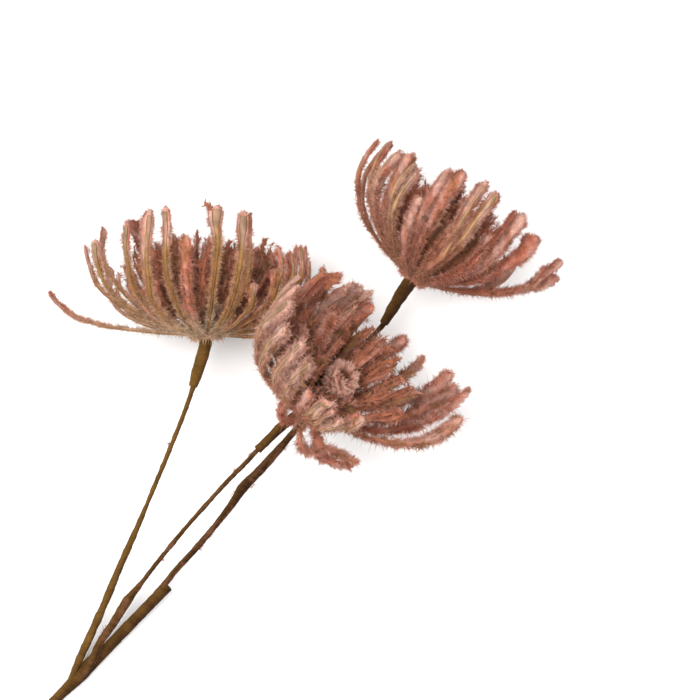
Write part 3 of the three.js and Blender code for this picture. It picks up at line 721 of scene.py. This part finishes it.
def tufts(random, count, chance, low=0.02, crowd=0.85):
    """Places of count tufts: the line, drawn by its chance, the share along it,
    low + (1 - low) u^crowd, and the turn round it. Each tuft's aim, height and shade go with them."""
    return dict(
        s=random.choice(len(chance), count, p=chance),
        t=low + (1 - low) * random.uniform(0, 1, count) ** crowd,
        turn=random.uniform(0, 2 * np.pi, count), aim=random.normal(0, 1, (count, 3)),
        tall=random.uniform(0.35, 1.3, count), shade=random.uniform(-1, 1, count))


def parted(random, tuft):
    """The tufts' fibres: everything repeated, then strewn a little along and round the line."""
    each = {name: np.repeat(values, TUFT, axis=0) for name, values in tuft.items()}
    count = len(each["s"])
    each["t"] = np.clip(each["t"] + random.normal(0, 0.012, count), 0.01, 1)
    each["turn"] = each["turn"] + random.normal(0, 0.3, count)
    return each


def put_flock(name, slot, random, tuft, roots, out, along, tint, length, lean, bleach=0.55, thick=FIBRE_HALF):
    """Fibres that go out and lean along, as long as length times the tuft's height. The tint
    is a little olive at the root, and about one tuft in six is bleached towards its apex by
    the share bleach. The blades' half widths lie between the two of thick. Their fronts look
    outwards and up, tipped by the tuft's aim, and are shaded halfway to that direction."""
    count = len(roots)
    aim = unit(out + np.c_[lean] * along + 0.4 * tuft["aim"] + random.normal(0, 0.3, (count, 3)))
    reach = length * tuft["tall"] * random.uniform(0.55, 1.1, count)
    curl = random.normal(0, 0.3, (count, 3)) * np.c_[reach]
    outward = unit(out + [0, 0, 1.4])
    face = outward + 0.35 * tuft["aim"] + random.normal(0, 0.2, (count, 3))
    half = random.uniform(*thick, count)
    points, faces, front = fibres(roots - SUNK * out, aim * np.c_[reach], curl, half, face)
    normals = np.repeat(unit(front + outward), 4, axis=0)
    base = tint * np.c_[np.clip(1 + 0.15 * tuft["shade"] + random.normal(0, 0.15, count), 0.4, 1.6)]
    apex = mixed(base, DUSTY_PINK, np.where(tuft["shade"] > 0.67, bleach, APEX_DUST))
    root = mixed(base, OLIVE, np.full(count, ROOT_OLIVE))
    tints = np.stack([root, base, base, apex], 1).reshape(-1, 3)
    return dress(put_mesh(name, points, faces, FLOCK, tints, normals=normals), slot)


def flock_lines(name, slot, random, each, ring, surface, tint_of, length, lean, **look):
    """Flock on a ring's lines. surface gives a fibre's root and its way out, and
    tint_of its colour, both from the line, the share along it and the turn."""
    place = each["s"], each["t"], each["turn"]
    roots, out = surface(*place)
    along = at(ring["along"], *place[:2])
    return put_flock(name, slot, random, each, roots, out, along, tint_of(*place), length, lean, **look)


def line_weights(ring):
    """Each line's share of the tufts: its length times its width's
    root and density, and more for the lines on top."""
    length = np.linalg.norm(np.diff(ring["line"], axis=1), axis=-1).sum(1)
    top = 0.35 + ease(20, 80, ring["line"][..., 2].max(1))
    weight = length * np.sqrt(ring["width"]) * top * ring["dense"]
    return weight / weight.sum()


# %% Flock on the straps
BAND_TUFTS = {"a": 9000, "b": 9000, "c": 9900}
ON_EDGES = 0.58


def make_band_flock(key, count):
    """More than half of the tufts stand on the edges, where they are
    longest. A bare rib and paddle have few."""
    head, ring = HEADS[key], rings[key]
    random = np.random.default_rng(head["seed"])
    tuft = tufts(random, count, line_weights(ring), crowd=head["crowd"])
    edge = random.uniform(0, 1, count) < ON_EDGES
    edges = random.choice([0.0, np.pi], count) + random.normal(0, 0.4, count)
    tuft["turn"] = np.where(edge, edges, tuft["turn"])
    wiped = ring["bare"][tuft["s"]] * ease(head["wiped"] - 0.1, head["wiped"] + 0.1, tuft["t"])
    stays = random.uniform(0, 1, count) > 1.3 * wiped * (np.sin(tuft["turn"]) > 0.5) - 0.25
    each = parted(random, {name: values[stays] for name, values in tuft.items()})
    t, turn = each["t"], each["turn"]
    length = head["pile"] * (0.65 + 0.35 * np.abs(np.cos(turn))) * (1 - 0.25 * ease(0.7, 0.9, t))
    lean = 0.25 + 0.7 * np.abs(np.sin(turn)) + 0.7 * ease(0.92, 1, t)
    return flock_lines("band_flock_" + key, "straps", random, each, ring,
                       lambda *place: band(head, ring, *place),
                       lambda *place: band_tint(head, ring, *place), length, lean)


triangles += sum(make_band_flock(key, count) for key, count in BAND_TUFTS.items())

# %% [markdown]
# Inside the straps stands the brush: thinner strands that fan out by the golden angle, the outermost
# the lowest. Every strand of the solid becomes three finer ones here, which part towards their tips.

# %% Lines of the brush
GOLDEN_ANGLE = 137.508
STRANDS = 56
STRAND_REACH, STRAND_FURTHER, STRAND_STREWN = 13, 22.5, 2
STRAND_RISE, STRAND_DROP, STRAND_UNEVEN = 36, 11, 6
STRAND_SWAY = 4
BRUSH_ROOT_RADIUS, BRUSH_ROOT_HEIGHT = 2.4, 8.8
BRUSH_BULGE, STRAND_SAG, RISER_SAG = 0.8, 0.2, 0.36
SHORTENED = 0.45
PARTS = [-1.6, 0, 1.6]


def brush_lines(head):
    """As many lines as in the solid. With spread = sqrt((i + 0.5) / STRANDS), a strand
    reaches 13 + 22.5 spread and rises 36 - 11 spread^2 above its root. Each is made once
    for each of PARTS, which is how far it sways, and the copies differ in height."""
    i = np.arange(STRANDS)
    spread = np.sqrt((i + 0.5) / STRANDS)
    d = draws(head["seed"] + 1, 3 * STRANDS).reshape(-1, 3)
    azimuth = (i * GOLDEN_ANGLE) % 360
    low, high = head["short"]
    cut = np.where((azimuth > low) & (azimuth < high), SHORTENED, 1)
    reach = cut * (STRAND_REACH + STRAND_FURTHER * spread + STRAND_STREWN * (d[:, 0] - 0.5))
    height = STRAND_RISE - STRAND_DROP * spread**2 + STRAND_UNEVEN * (d[:, 1] - 0.5)
    root = BRUSH_ROOT_RADIUS + 1.4 * spread, BRUSH_ROOT_HEIGHT - 2.4 * spread
    rows = azimuth, *root, reach, BRUSH_ROOT_HEIGHT + cut * height, STRAND_SWAY * (d[:, 2] - 0.5)
    azimuth, radius, foot, reach, rise, sway = np.repeat(rows, len(PARTS), axis=1)
    random = np.random.default_rng(head["seed"] + 1)
    size = random.uniform(0.88, 1.05, len(azimuth))
    ring = framed(head, bowed(azimuth, radius, foot, reach * size, rise * size, BRUSH_BULGE, STRAND_SAG,
                              sway + np.tile(PARTS, STRANDS)))
    ring.update(width=np.full(len(azimuth), 1.6), dense=np.ones(len(azimuth)),
                light=random.uniform(0, 1, len(azimuth)))
    return ring


brushes = {key: brush_lines(head) for key, head in HEADS.items()}
print("strands in each brush:", len(brushes["a"]["line"]))

# %% Brush strands
STRAND_STEPS, STRAND_SIDES = 12, 5
STRAND_HALF = {"a": 1.0, "b": 1.5, "c": 1.1}
DARKEST = 0.2


def strand(key, ring, s, t, turn):
    """A five-sided strand: half as wide at the root as at two thirds,
    a point at the tip, flatter than wide."""
    half = STRAND_HALF[key] * np.interp(t, [0, 0.34, 0.72, 0.93, 1], [0.5, 0.8, 1, 0.7, 0.12])
    across, back = at(ring["across"], s, t), at(ring["back"], s, t)
    out = across * np.cos(turn)[..., None] + back * np.sin(turn)[..., None]
    wave = across * (0.35 * np.sin(14 * t + 5 * s) * ease(0.2, 0.6, t))[..., None]
    flat = np.where(np.sin(turn) ** 2 > 0.5, 0.7, 1)
    return at(ring["line"], s, t) + wave + out * (half * flat)[..., None], out


def strand_tint(head, ring, s, t):
    """Umber at the root, painted shade deep in the brush, or deeper rose by head, a dun rose halfway,
    and rose or dusty at the tip; the darkest fifth stay dun. The head's inner scales it all, partly as
    painted light."""
    light = ring["light"][s]
    middle = mixed(DEEP_ROSE, DUN, 0.4)
    tip = mixed(mixed(middle, ROSE, 0.65 * ease(0, 0.7, light)), DUSTY_PINK, 0.3 * ease(0.5, 1, light))
    tip = mixed(tip, mixed(UMBER, DUN, 0.6), 0.8 * (light < DARKEST))
    # Painted shade: towards the root the strand turns umber, deep in the brush.
    root = mixed(UMBER, middle, 0.4 + head["deep"])
    return head["inner"] * mixed(mixed(root, middle, ease(0.2, 0.5, t)), tip, ease(0.4, 0.8, t))


def make_strands(name, key, ring, tint_from=0.0):
    """A ring of strands as closed skins, with their tints from the share tint_from on."""
    s, t, turn = grid(len(ring["line"]), STRAND_STEPS, STRAND_SIDES, 0.3)
    tint = strand_tint(HEADS[key], ring, s, tint_from + (1 - tint_from) * t)
    return put_skin(name + key, strand(key, ring, s, t, turn)[0], tint, FLOCK)


triangles += sum(dress(make_strands("brush_strands_", key, brushes[key]), "brush", "brush_" + key)
                 for key in HEADS)


# %% [markdown]
# The strands' hairs are longer than the straps' and lean forward, like
# the barbs of a feather, which makes the ragged upper edge of the brush.

# %% Brush flock
BRUSH_TUFTS = {"a": 5600, "b": 4900, "c": 4000}
BRUSH_FIBRE = dict(bleach=0.3, thick=(0.09, 0.21))


def make_brush_flock(key, count):
    """Tufts from an eighth of each strand on, more of them towards its tip."""
    head, ring = HEADS[key], brushes[key]
    random = np.random.default_rng(head["seed"] + 2)
    each = parted(random, tufts(random, count, line_weights(ring), 0.12, 0.6))
    return flock_lines("brush_flock_" + key, "brush", random, each, ring,
                       lambda *place: strand(key, ring, *place),
                       lambda s, t, turn: strand_tint(head, ring, s, t), 3.0, 0.7, **BRUSH_FIBRE)


triangles += sum(make_brush_flock(key, count) for key, count in BRUSH_TUFTS.items())

# %% [markdown]
# A few broader straps stand among the brush, flocked on both sides. They
# lie in the shade of their neighbours, so they are toned down a little.

# %% Risers
RISER_TUFTS = 500
RISER_LIGHT = 0.2
RISER_TONE, RISER_FLOCK_TONE = 0.8, 0.9


def make_risers(key):
    """Bands with the brush's root, made and flocked as the outer ones are."""
    head = HEADS[key]
    azimuth, reach, rise, width = np.array(head["risers"], float).T
    none = 0 * width
    ring = framed(head, bowed(azimuth, BRUSH_ROOT_RADIUS, BRUSH_ROOT_HEIGHT, reach, rise, BRUSH_BULGE,
                              RISER_SAG, none))
    ring.update(width=width, bare=none, light=none + RISER_LIGHT, left=none, grow=none + TIP_GROWTH)
    place = grid(len(width), BAND_STEPS, BAND_SIDES)
    tint = RISER_TONE * band_tint(head, ring, *place)
    made = dress(put_skin("risers_" + key, band(head, ring, *place)[0], tint, FLOCK), "brush")
    random = np.random.default_rng(head["seed"] + 3)
    each = parted(random, tufts(random, RISER_TUFTS, np.full(len(width), 1 / len(width)), 0.3, 1))
    return made + flock_lines("riser_flock_" + key, "brush", random, each, ring,
                              lambda *place: band(head, ring, *place),
                              lambda *place: RISER_FLOCK_TONE * band_tint(head, ring, *place),
                              head["pile"], 0.6)


triangles += sum(make_risers(key) for key in HEADS)

# %% [markdown]
# The button in the middle is a pile ball on a stalk. Its pile stands in lumps round a dark pit,
# greyer than the rest. It is a profile spun round the axis, with the lumps added as waves, and a
# coat of hairs. Two more forms are spun in the same way: the hub that holds the straps' roots,
# and a shallow bowl of fuzz under the brush, the bed, which hides the gaps between the roots.

# %% Buttons, beds and hubs
BUTTON_PROFILE = [
    [0.3, 9.9], [1.6, 9.9], [1.6, 21], [4.4, 22.8], [5.8, 26], [6.4, 28.5], [6.4, 31.2], [5.4, 33],
    [3.8, 33.2], [2.8, 30.4], [0.3, 28.6]]
BED_PROFILE = [
    [0.3, 8.6], [5, 8.8], [10, 9.6], [15, 11.8], [18.4, 14.6], [19, 15.4], [18.2, 15.6], [14.4, 12.8],
    [9, 10.8], [4, 10], [0.3, 9.9]]
HUB_PROFILE = [
    [0.3, 0], [4.6, 0], [5.8, 0.8], [6.2, 1.9], [5.7, 3.6], [4.8, 4.4], [4.6, 7], [4, 9.4], [0.3, 9.6]]
SPUN_STEPS, SPUN_SIDES = 34, 40


def spun(head, profile, lump, share, turn):
    """The profile at a share of its steps, turned about the axis; where it is wide, the radius and the height
    swell by lump millimetres times the sum of two waves, round and up. Returns points and the wave there."""
    radius, height = (np.interp(share * (len(profile) - 1), np.arange(len(profile)), column)
                      for column in np.array(profile).T)
    wave = 0.5 * np.sin(6 * turn + 3 * np.sin(height)) + 0.4 * np.sin(11 * turn + 1.7 * height)
    wave = wave * ease(1.8, 5, radius)
    radius, height = radius + lump * wave, height + 0.7 * lump * wave
    return in_part(head, np.stack([radius * np.cos(turn), radius * np.sin(turn), height], -1)), wave


def button_tint(head, share, wave):
    """Grey mauve on the lumps, and umber between them and in the pit, painted shade in the hollows."""
    tint = mixed(mixed(UMBER, ROSE, 0.5), 1.1 * MAUVE_GREY, ease(-0.5, 0.2, wave))
    return mixed(tint, 0.7 * UMBER, ease(0.8, 0.88, share))


def bed_tint(head, share, wave):
    """The head's own fuzz on the outside of the bed, and umber to dun inside, painted shade under the brush,
    darker in the hollows between the lumps.
    """
    outside = 0.8 * mixed(mixed(DEEP_ROSE, ROSE, 0.5), ASH, 0.1 + 0.6 * head["ash"] + 0 * share)
    return mixed(outside, mixed(UMBER, DUN, 0.3 + 0.3 * wave), ease(0.45, 0.6, share))


def hub_tint(head, share, wave):
    """Ashen where the straps' roots are, and umber inside the brush, painted shade there; lighter on the
    lumps and darker between them, painted light and shade.
    """
    tint = mixed(ROSE, ASH, 0.1 + 0.7 * head["ash"] + 0 * share)
    return mixed(tint, UMBER, ease(0.5, 0.75, share)) * (1 + 0.15 * wave[..., None])


def make_spun(key, name, slot, nodes, profile, lump, tint_of, middle, count, reach, bowl=False):
    """A spun form and its hairs, which point away from the middle of the form on the axis and are short near
    the end of the profile. The second half of a bowl is its inside, where they point to that middle."""
    head = HEADS[key]
    _, share, turn = grid(1, SPUN_STEPS, SPUN_SIDES, 0)
    rings_, wave = spun(head, profile, lump, share, -turn)
    made = dress(put_skin(name + "_" + key, rings_, tint_of(head, share, wave), FLOCK), slot, *nodes)
    random = np.random.default_rng(head["seed"] + 4)
    each = parted(random, tufts(random, count, np.ones(1), 0.12, 1))
    roots, wave = spun(head, profile, lump, each["t"], each["turn"])
    each["tall"] = each["tall"] * (1 - (0 if bowl else 0.7) * ease(0.78, 0.86, each["t"]))
    out = unit(roots - in_part(head, np.array([0, 0, middle])))
    out *= np.c_[np.where(bowl & (each["t"] > 0.5), -1, 1)]
    return made + put_flock(name + "_flock_" + key, slot, random, each, roots, out, 0 * out,
                            tint_of(head, each["t"], wave), reach, 0)


for key, head in HEADS.items():
    triangles += make_spun(key, "button_pile", "button", ["button_" + key], BUTTON_PROFILE, lump=1.5,
                           tint_of=button_tint, middle=26, count=1000, reach=1.9)
    triangles += make_spun(key, "bed", "brush", [], BED_PROFILE, lump=0.7, tint_of=bed_tint, middle=38,
                           count=500, reach=2.8, bowl=True)
    triangles += make_spun(key, "hub", "straps", [], HUB_PROFILE, lump=0.3, tint_of=hub_tint, middle=3,
                           count=520, reach=head["hub"])


# %% [markdown]
# A few slivers have torn loose and stick out of the heads. Each is a thin ragged strand through three points.

# %% Slivers
SLIVERS = {
    "a": [
        [(97.4, 218, 88), (95.2, 220.8, 88.5), (92.9, 222.9, 89)],
        [(89.4, 194, 60), (88.9, 204, 61), (89.3, 211.3, 61)],
        [(117.6, 200, 56), (118.4, 204, 56), (119.8, 207.3, 56)],
        [(102, 200, 60), (103, 203.6, 60), (103.4, 207, 60)],
    ],
    "b": [
        [(170, 151.8, 60), (175, 152.2, 60), (179.9, 153.9, 60)],
        [(168, 155, 62), (172, 157.4, 62), (175.4, 158.6, 62)],
        [(146.6, 184.4, 88), (149.6, 187.4, 88), (152.6, 189.4, 88)],
    ],
    "c": [
        [(203, 219, 60), (207.4, 222.6, 60), (211, 224.8, 60)],
        [(206, 214, 58), (210.4, 216.6, 58), (214, 218, 58)],
    ],
}
SLIVER_TUFTS = 28
SLIVER_LIGHT = 0.3
SLIVER_TINT_FROM = 0.6


def make_slivers(key):
    """Strands along those lines, in the tint of the brush's upper part, with hairs all round."""
    head = HEADS[key]
    lines = np.array([through(np.array(points, float), LINE_STEPS) for points in SLIVERS[key]]) - SPRAY_MIDDLE
    along = unit(np.gradient(lines, axis=1))
    across = unit(np.cross(along, [0, 0, 1.0]))
    number = len(lines)
    ring = dict(line=lines, along=along, across=across, back=np.cross(across, along),
                light=np.full(number, SLIVER_LIGHT))
    made = dress(make_strands("slivers_", key, ring, SLIVER_TINT_FROM), "brush")
    random = np.random.default_rng(head["seed"] + 5)
    each = parted(random, tufts(random, SLIVER_TUFTS * number, np.full(number, 1 / number), 0.02, 0.8))

    def tint_of(s, t, turn):
        """The brush's tint, from the share SLIVER_TINT_FROM on."""
        return strand_tint(head, ring, s, SLIVER_TINT_FROM + (1 - SLIVER_TINT_FROM) * t)

    return made + flock_lines("sliver_flock_" + key, "brush", random, each, ring,
                              lambda *place: strand(key, ring, *place), tint_of, 1.6, 1.0)


triangles += sum(make_slivers(key) for key in HEADS)

# %% [markdown]
# The stems are wires wound with waxed paper tape. The tape climbs in a helix and each turn lies over
# the last one's edge, so the radius grows slowly across a turn and drops at the edge. A tube along
# the wire's line gets that saw-tooth, and its map carries the turn round and the length along, so the
# finish can draw the edge. Each station of a line is x, y, the radius and the height above the table.

# %% Lines of the stems
TRUNK = [
    (-53.6, -87.3, 2.3, 2.3), (-36, -66, 2.3, 2.3), (-14, -42, 2.3, 2.3), (8, -18.5, 2.3, 2.3),
    (24, -1.4, 2.3, 2.3), (29.5, 4, 2.7, 2.7), (34, 8.8, 3.45, 3.5), (39, 14.1, 3.2, 3.4),
    (45, 19.6, 2.6, 4), (55.1, 30, 2.6, 5.4), (65.2, 40.4, 2.6, 7.3), (73.8, 49.2, 2.6, 9.5),
]
STEM_A = [
    (28.4, 5.2, 1, 3.9), (30.2, 8.8, 1.3, 5), (33.4, 15.6, 1.75, 7.8), (39.2, 28.1, 1.85, 10.8),
    (45.7, 42.7, 1.75, 14.2), (52, 57.5, 1.7, 17.9), (57.3, 69.4, 1.55, 21), (63.3, 83, 1.05, 24.8),
    (69.7, 98.1, 1.05, 29), (75.2, 111.2, 1.05, 33), (81.9, 127.4, 1.05, 37.6), (86.6, 141, 1.05, 40.4),
    (88.8, 148.6, 1.05, 41.2),
]
STEM_B = [
    (32.6, 5.8, 1, 4.2), (35.9, 9.8, 1.4, 6.3), (39.4, 15.2, 2, 8.9), (43.2, 23.7, 1.7, 10.4),
    (48.6, 31.5, 1.85, 12), (55.6, 42.8, 2.2, 15), (62.3, 51.1, 1.05, 18), (68.7, 59.5, 1.05, 21),
    (76.4, 69, 1.05, 24.6), (84, 78.1, 1.05, 28.4), (92.6, 87.7, 1.05, 33), (102.1, 98.2, 1.05, 37.8),
    (111.6, 107.8, 1.05, 41.6), (115.9, 112.5, 1.05, 42.8), (121.6, 118, 1.05, 44.4),
]
STEM_C = [
    (68.4, 45.6, 1.35, 8.6), (73.4, 51.2, 1.35, 9.8), (77.4, 56.3, 1.35, 10.6), (86.9, 66.6, 1.45, 12),
    (96.8, 78.3, 1.35, 13.2), (104, 87.8, 1.9, 13.8), (108.5, 94.5, 2.35, 14.2), (116.1, 102.2, 2.1, 14.8),
    (124.5, 111.7, 1.85, 15.6), (133, 121.5, 1.3, 16.8), (153, 145.4, 1.2, 20.5), (164.5, 160, 1.2, 26),
    (173, 169.7, 1.2, 32.6), (176.9, 176.3, 1.2, 35.6),
]
COLLARS = {
    "a": [(86.6, 141, 2.1, 40.4), (88.8, 148.6, 2.6, 41.2), (91.1, 156, 2.9, 41.8)],
    "b": [(115.9, 112.5, 2, 42.8), (121.6, 118, 2, 44.4), (128, 124.2, 2.3, 47.4)],
    "c": [(173, 169.7, 2, 32.6), (176.9, 176.3, 2.5, 35.6), (180.8, 182.9, 3.2, 38.8)],
}
COLLAR_ENDS = (2, 0.3)


def collar_stations(key):
    """The collar's line from its cuff to the head, with its radius, ending square to the axis."""
    axis, base = axes_of(HEADS[key])[2], np.array(HEADS[key]["base"], float)
    radius = COLLARS[key][-1][2]
    ends = [base - below * axis for below in COLLAR_ENDS]
    return [*COLLARS[key], *((x, y, radius, z) for x, y, z in ends)]


# %% Wound tubes
TAPE_PITCH = 5.5
TAPE_STEP = 0.12
TAPE_DARK = linear(52, 31, 16)
TAPE_OLIVE = linear(101, 72, 33)
TAPE_MAUVE = linear(102, 66, 50)
TUBE_STEP, TUBE_SIDES = 0.7, 14


def tube_line(stations):
    """Points every TUBE_STEP millimetres of the smooth line through the stations, the
    length up to each, and the stations' radius there, smoothed over seven steps."""
    x, y, radius, z = np.array(stations, float).T
    coarse = through(np.column_stack([x, y, z]) - SPRAY_MIDDLE, 40 * len(x))
    run = np.concatenate([[0], np.cumsum(np.linalg.norm(np.diff(coarse, axis=0), axis=1))])
    length = np.append(np.arange(0, run[-1], TUBE_STEP), run[-1])
    centre = np.column_stack([np.interp(length, run, coarse[:, k]) for k in range(3)])
    station = np.interp(length, run, np.linspace(0, len(x) - 1, len(run)))
    size = np.interp(station, np.arange(len(x)), radius)
    return centre, length, np.convolve(np.pad(size, 3, "edge"), np.ones(7) / 7, "valid")


def wound(name, stations, seed, light, knobbly=1.0, dust=0.0):
    """A tube round the line through the stations. The radius is the stations' own, plus
    TAPE_STEP times the saw-tooth of turn + length / pitch, plus slow waves and random knobs,
    which make the winding uneven by the factor knobbly. The tint goes from red brown to olive,
    in patches and where the light share is high, and more so on the left, which is painted
    light from that side, with mauve blots by the share dust."""
    random = np.random.default_rng(seed)
    centre, length, size = tube_line(stations)
    along = unit(np.gradient(centre, axis=0))
    across = unit(np.column_stack([along[:, 1], -along[:, 0], 0 * length]))
    back = np.cross(across, along)
    turn = np.arange(TUBE_SIDES) * 2 * np.pi / TUBE_SIDES
    phase = random.uniform(0, 2 * np.pi, 4)
    far = length[:, None]
    saw = (turn / (2 * np.pi) + far / TAPE_PITCH) % 1
    slow = (np.sin(far / 6.1 + phase[0] + turn) + np.sin(far / 2.7 + phase[1] - 2 * turn)) / 2
    rough = np.sin(far / 1.1 + phase[2] + 3 * turn) * np.sin(far / 0.9 + phase[3] - 2 * turn)
    knobs = np.convolve(random.uniform(-1, 1, len(length) + 4), np.ones(5) / 5, "valid")[:, None]
    winding = TAPE_STEP * saw + 0.04 * rough - 0.05
    r = size[:, None] * (1 + 0.05 * knobbly * slow) + 0.26 * knobbly * knobs + winding
    rings_ = (centre[:, None] + across[:, None] * (r * np.cos(turn))[..., None]
              + back[:, None] * (r * np.sin(turn))[..., None])
    rings_[..., 2] += np.maximum(0, size - centre[:, 2])[:, None]
    points, faces = skin(rings_[None])
    # Painted light: -cos(turn) turns the left side of the tape olive and lighter, as if lit from the left.
    olive = ease(-1.4, 1.4, -np.cos(turn) + 0.15 * slow + 0.2 * rough + 0.4 * knobs + 2 * (light - 0.5))
    blots = dust * ease(-0.2, 0.9, rough + 2 * knobs + slow)
    tint = mixed(mixed(TAPE_DARK, TAPE_OLIVE, olive), TAPE_MAUVE, blots)
    return put_mesh(name, points, faces, TAPE, on_skin(tint[None]), tape_map(length))


def tape_map(length):
    """The map of a tube's squares and then of its two fans: turns round, and turns of the tape along."""
    step, side = np.meshgrid(np.arange(len(length) - 1), np.arange(TUBE_SIDES), indexing="ij")
    u = np.stack([side, side, side + 1, side + 1], -1) / TUBE_SIDES
    v = length[np.stack([step, step + 1, step + 1, step], -1)] / TAPE_PITCH
    fan = 3 * TUBE_SIDES
    far_end = np.tile([0, length[-1] / TAPE_PITCH], (fan, 1))
    return np.concatenate([np.stack([u, v], -1).reshape(-1, 2), np.zeros((fan, 2)), far_end])


# %% [markdown]
# The tape's finish reads that map. Turn plus length gives where across the tape a point lies: a
# dark line sits at the edge, and fine crepe wrinkles run along. The painted tint goes from a dark
# red brown to an olive brown. A branch's last two numbers say how light and how dusty its tape is.

# %% Tape finish
def tape_finish():
    """Brown waxed paper in its painted tint: fract(u + v) is the place across the tape; its first 14%
    are darker, and the bump falls there. Noise gives the blotches, and stretched noise the crepe."""
    material, tree, shader, colour, place = new_finish("tape", Roughness=0.85, Specular_IOR_Level=0.06)
    uv = tree.nodes.new("ShaderNodeUVMap")
    uv.uv_map = TAPE_MAP
    parts = node(tree, "SeparateXYZ", Vector=uv.outputs[0])
    total = node(tree, "Math", _0=parts.outputs["X"], _1=parts.outputs["Y"])
    saw = node(tree, "Math", "FRACT", _0=total.outputs[0])
    colour, _ = blotched(tree, colour, place, 130.0, 0.75, 1.25, 4.0)
    edge = node(tree, "MapRange", Value=saw.outputs[0], From_Min=0.0, From_Max=0.14, To_Min=0.75, To_Max=1.0)
    shaded = node(tree, "VectorMath", "MULTIPLY", _0=colour, _1=edge.outputs["Result"])
    squeeze = node(tree, "Mapping", Vector=uv.outputs[0], Scale=(40.0, 4.0, 1.0))
    crepe = node(tree, "TexNoise", Vector=squeeze.outputs[0], Scale=1.0, Detail=3.0).outputs["Fac"]
    final = node(tree, "VectorMath", "MULTIPLY", _0=shaded.outputs[0], _1=spanned(tree, crepe, 0.8, 1.2))
    height = node(tree, "Math", _0=edge.outputs["Result"], _1=crepe)
    covered(tree, shader, final.outputs[0], height.outputs[0], 0.7, 0.0003)
    return material


TAPE = tape_finish()
BRANCHES = [("a", STEM_A, 0.85, 0), ("b", STEM_B, 0.42, 0.5), ("c", STEM_C, 0.2, 0.6)]
triangles += dress(wound("wound_trunk", TRUNK, 1, 0.4, 0.35), "tape", "trunk")
for number, (key, stations, light, dust) in enumerate(BRANCHES):
    collar = wound("wound_collar_" + key, collar_stations(key), 5 + number, light)
    stem = wound("wound_stem_" + key, stations, 2 + number, light, dust=dust)
    triangles += dress(stem, "tape", "stem_" + key) + dress(collar, "tape", "collar_" + key)


# %% [markdown]
# Some of the sprayed flock missed the heads and stuck to the tape. Each such tuft is a
# place along a branch: a station's number, with the fraction of the way to the next.

# %% Stray tufts
STRAYS = [
    (STEM_A, 9.2), (STEM_A, 11.3), (STEM_B, 7.3), (STEM_B, 11.4), (STEM_B, 12.3), (STEM_B, 3.6),
    (STEM_C, 8.2), (STEM_C, 6.3), (STEM_C, 5.4), (STEM_C, 3.6), (STEM_C, 3.1),
]
STRAY_FIBRES = 24


def make_strays():
    """A tuft at each place, on the branch's left or right."""
    random = np.random.default_rng(9)
    rows = []
    for stations, place in STRAYS:
        k = int(place)
        here, after = np.array(stations[k]), np.array(stations[k + 1])
        x, y, radius, z = here * (1 - place + k) + after * (place - k)
        along = unit((after - here)[[0, 1, 3]])
        out = unit(np.cross([0, 0, 1.0], along)) * random.choice([1, 1, -1]) + [0, 0, 0.3]
        rows.append((np.array([x, y, z]) - SPRAY_MIDDLE + out * (radius - 0.1), out, along))
    point, out, along = (np.repeat(np.array(part), STRAY_FIBRES, axis=0) for part in zip(*rows))
    tuft = dict(aim=random.normal(0, 1, point.shape), tall=np.ones(len(point)), shade=np.zeros(len(point)))
    roots = point + along * np.c_[random.normal(0, 0.7, len(point))]
    tint = np.broadcast_to(0.6 * mixed(ROSE, MAUVE_GREY, 0.4), point.shape)
    return put_flock("stray_flock", "tape", random, tuft, roots, out, along, tint, 1.5, 0.5)


triangles += make_strays()
print("triangles in all:", triangles)

# %% [markdown]
# The studio: a pale floor, a wide soft light from the upper left of the picture, barely warm, a
# weaker one from the right, and a bright even surrounding, which keeps the shadows short and soft.

# %% Floor and light
FLOOR_HALF = 4
KEY_WATTS, FILL_WATTS, SURROUNDING = 32.0, 8.0, 0.93
HEADS_MIDDLE = (0, 0.05, 0)


def floor():
    """A pale sheet under the spray, with a slow change of tone."""
    half = FLOOR_HALF
    mesh = bpy.data.meshes.new("floor")
    corners = [(-half, -half, 0), (half, -half, 0), (half, half, 0), (-half, half, 0)]
    mesh.from_pydata(corners, [], [(0, 1, 2, 3)])
    material, tree, shader, _, place = new_finish("floor", Roughness=0.9, Specular_IOR_Level=0.1)
    grain = node(tree, "TexNoise", Vector=place, Scale=3.0)
    tone = node(tree, "MapRange", Value=grain.outputs["Fac"], To_Min=0.9, To_Max=0.93)
    tree.links.new(tone.outputs["Result"], shader.inputs["Base Color"])
    mesh.materials.append(material)
    sheet = bpy.data.objects.new("floor", mesh)
    bpy.context.scene.collection.objects.link(sheet)


def soft_light(name, place, size, watts, colour=(1, 1, 1)):
    """A square area light at place, turned to face the heads, that the camera itself doesn't see."""
    data = bpy.data.lights.new(name, "AREA")
    data.size, data.energy, data.color = size, watts, colour
    lamp = bpy.data.objects.new(name, data)
    lamp.location = place
    lamp.rotation_mode = "QUATERNION"
    lamp.rotation_quaternion = Vector(np.subtract(HEADS_MIDDLE, place)).to_track_quat("-Z", "Y")
    lamp.visible_camera = False
    bpy.context.scene.collection.objects.link(lamp)


floor()
soft_light("key", (-0.45, 0.35, 1.9), 0.9, KEY_WATTS, (1, 0.98, 0.96))
soft_light("fill", (0.9, -0.2, 1.4), 1.2, FILL_WATTS)
world = bpy.data.worlds.new("studio")
world.use_nodes = True
world.node_tree.nodes["Background"].inputs["Color"].default_value = (1, 1, 1, 1)
world.node_tree.nodes["Background"].inputs["Strength"].default_value = SURROUNDING
bpy.context.scene.world = world
print("light: key", KEY_WATTS, "W, fill", FILL_WATTS, "W, surroundings", SURROUNDING)
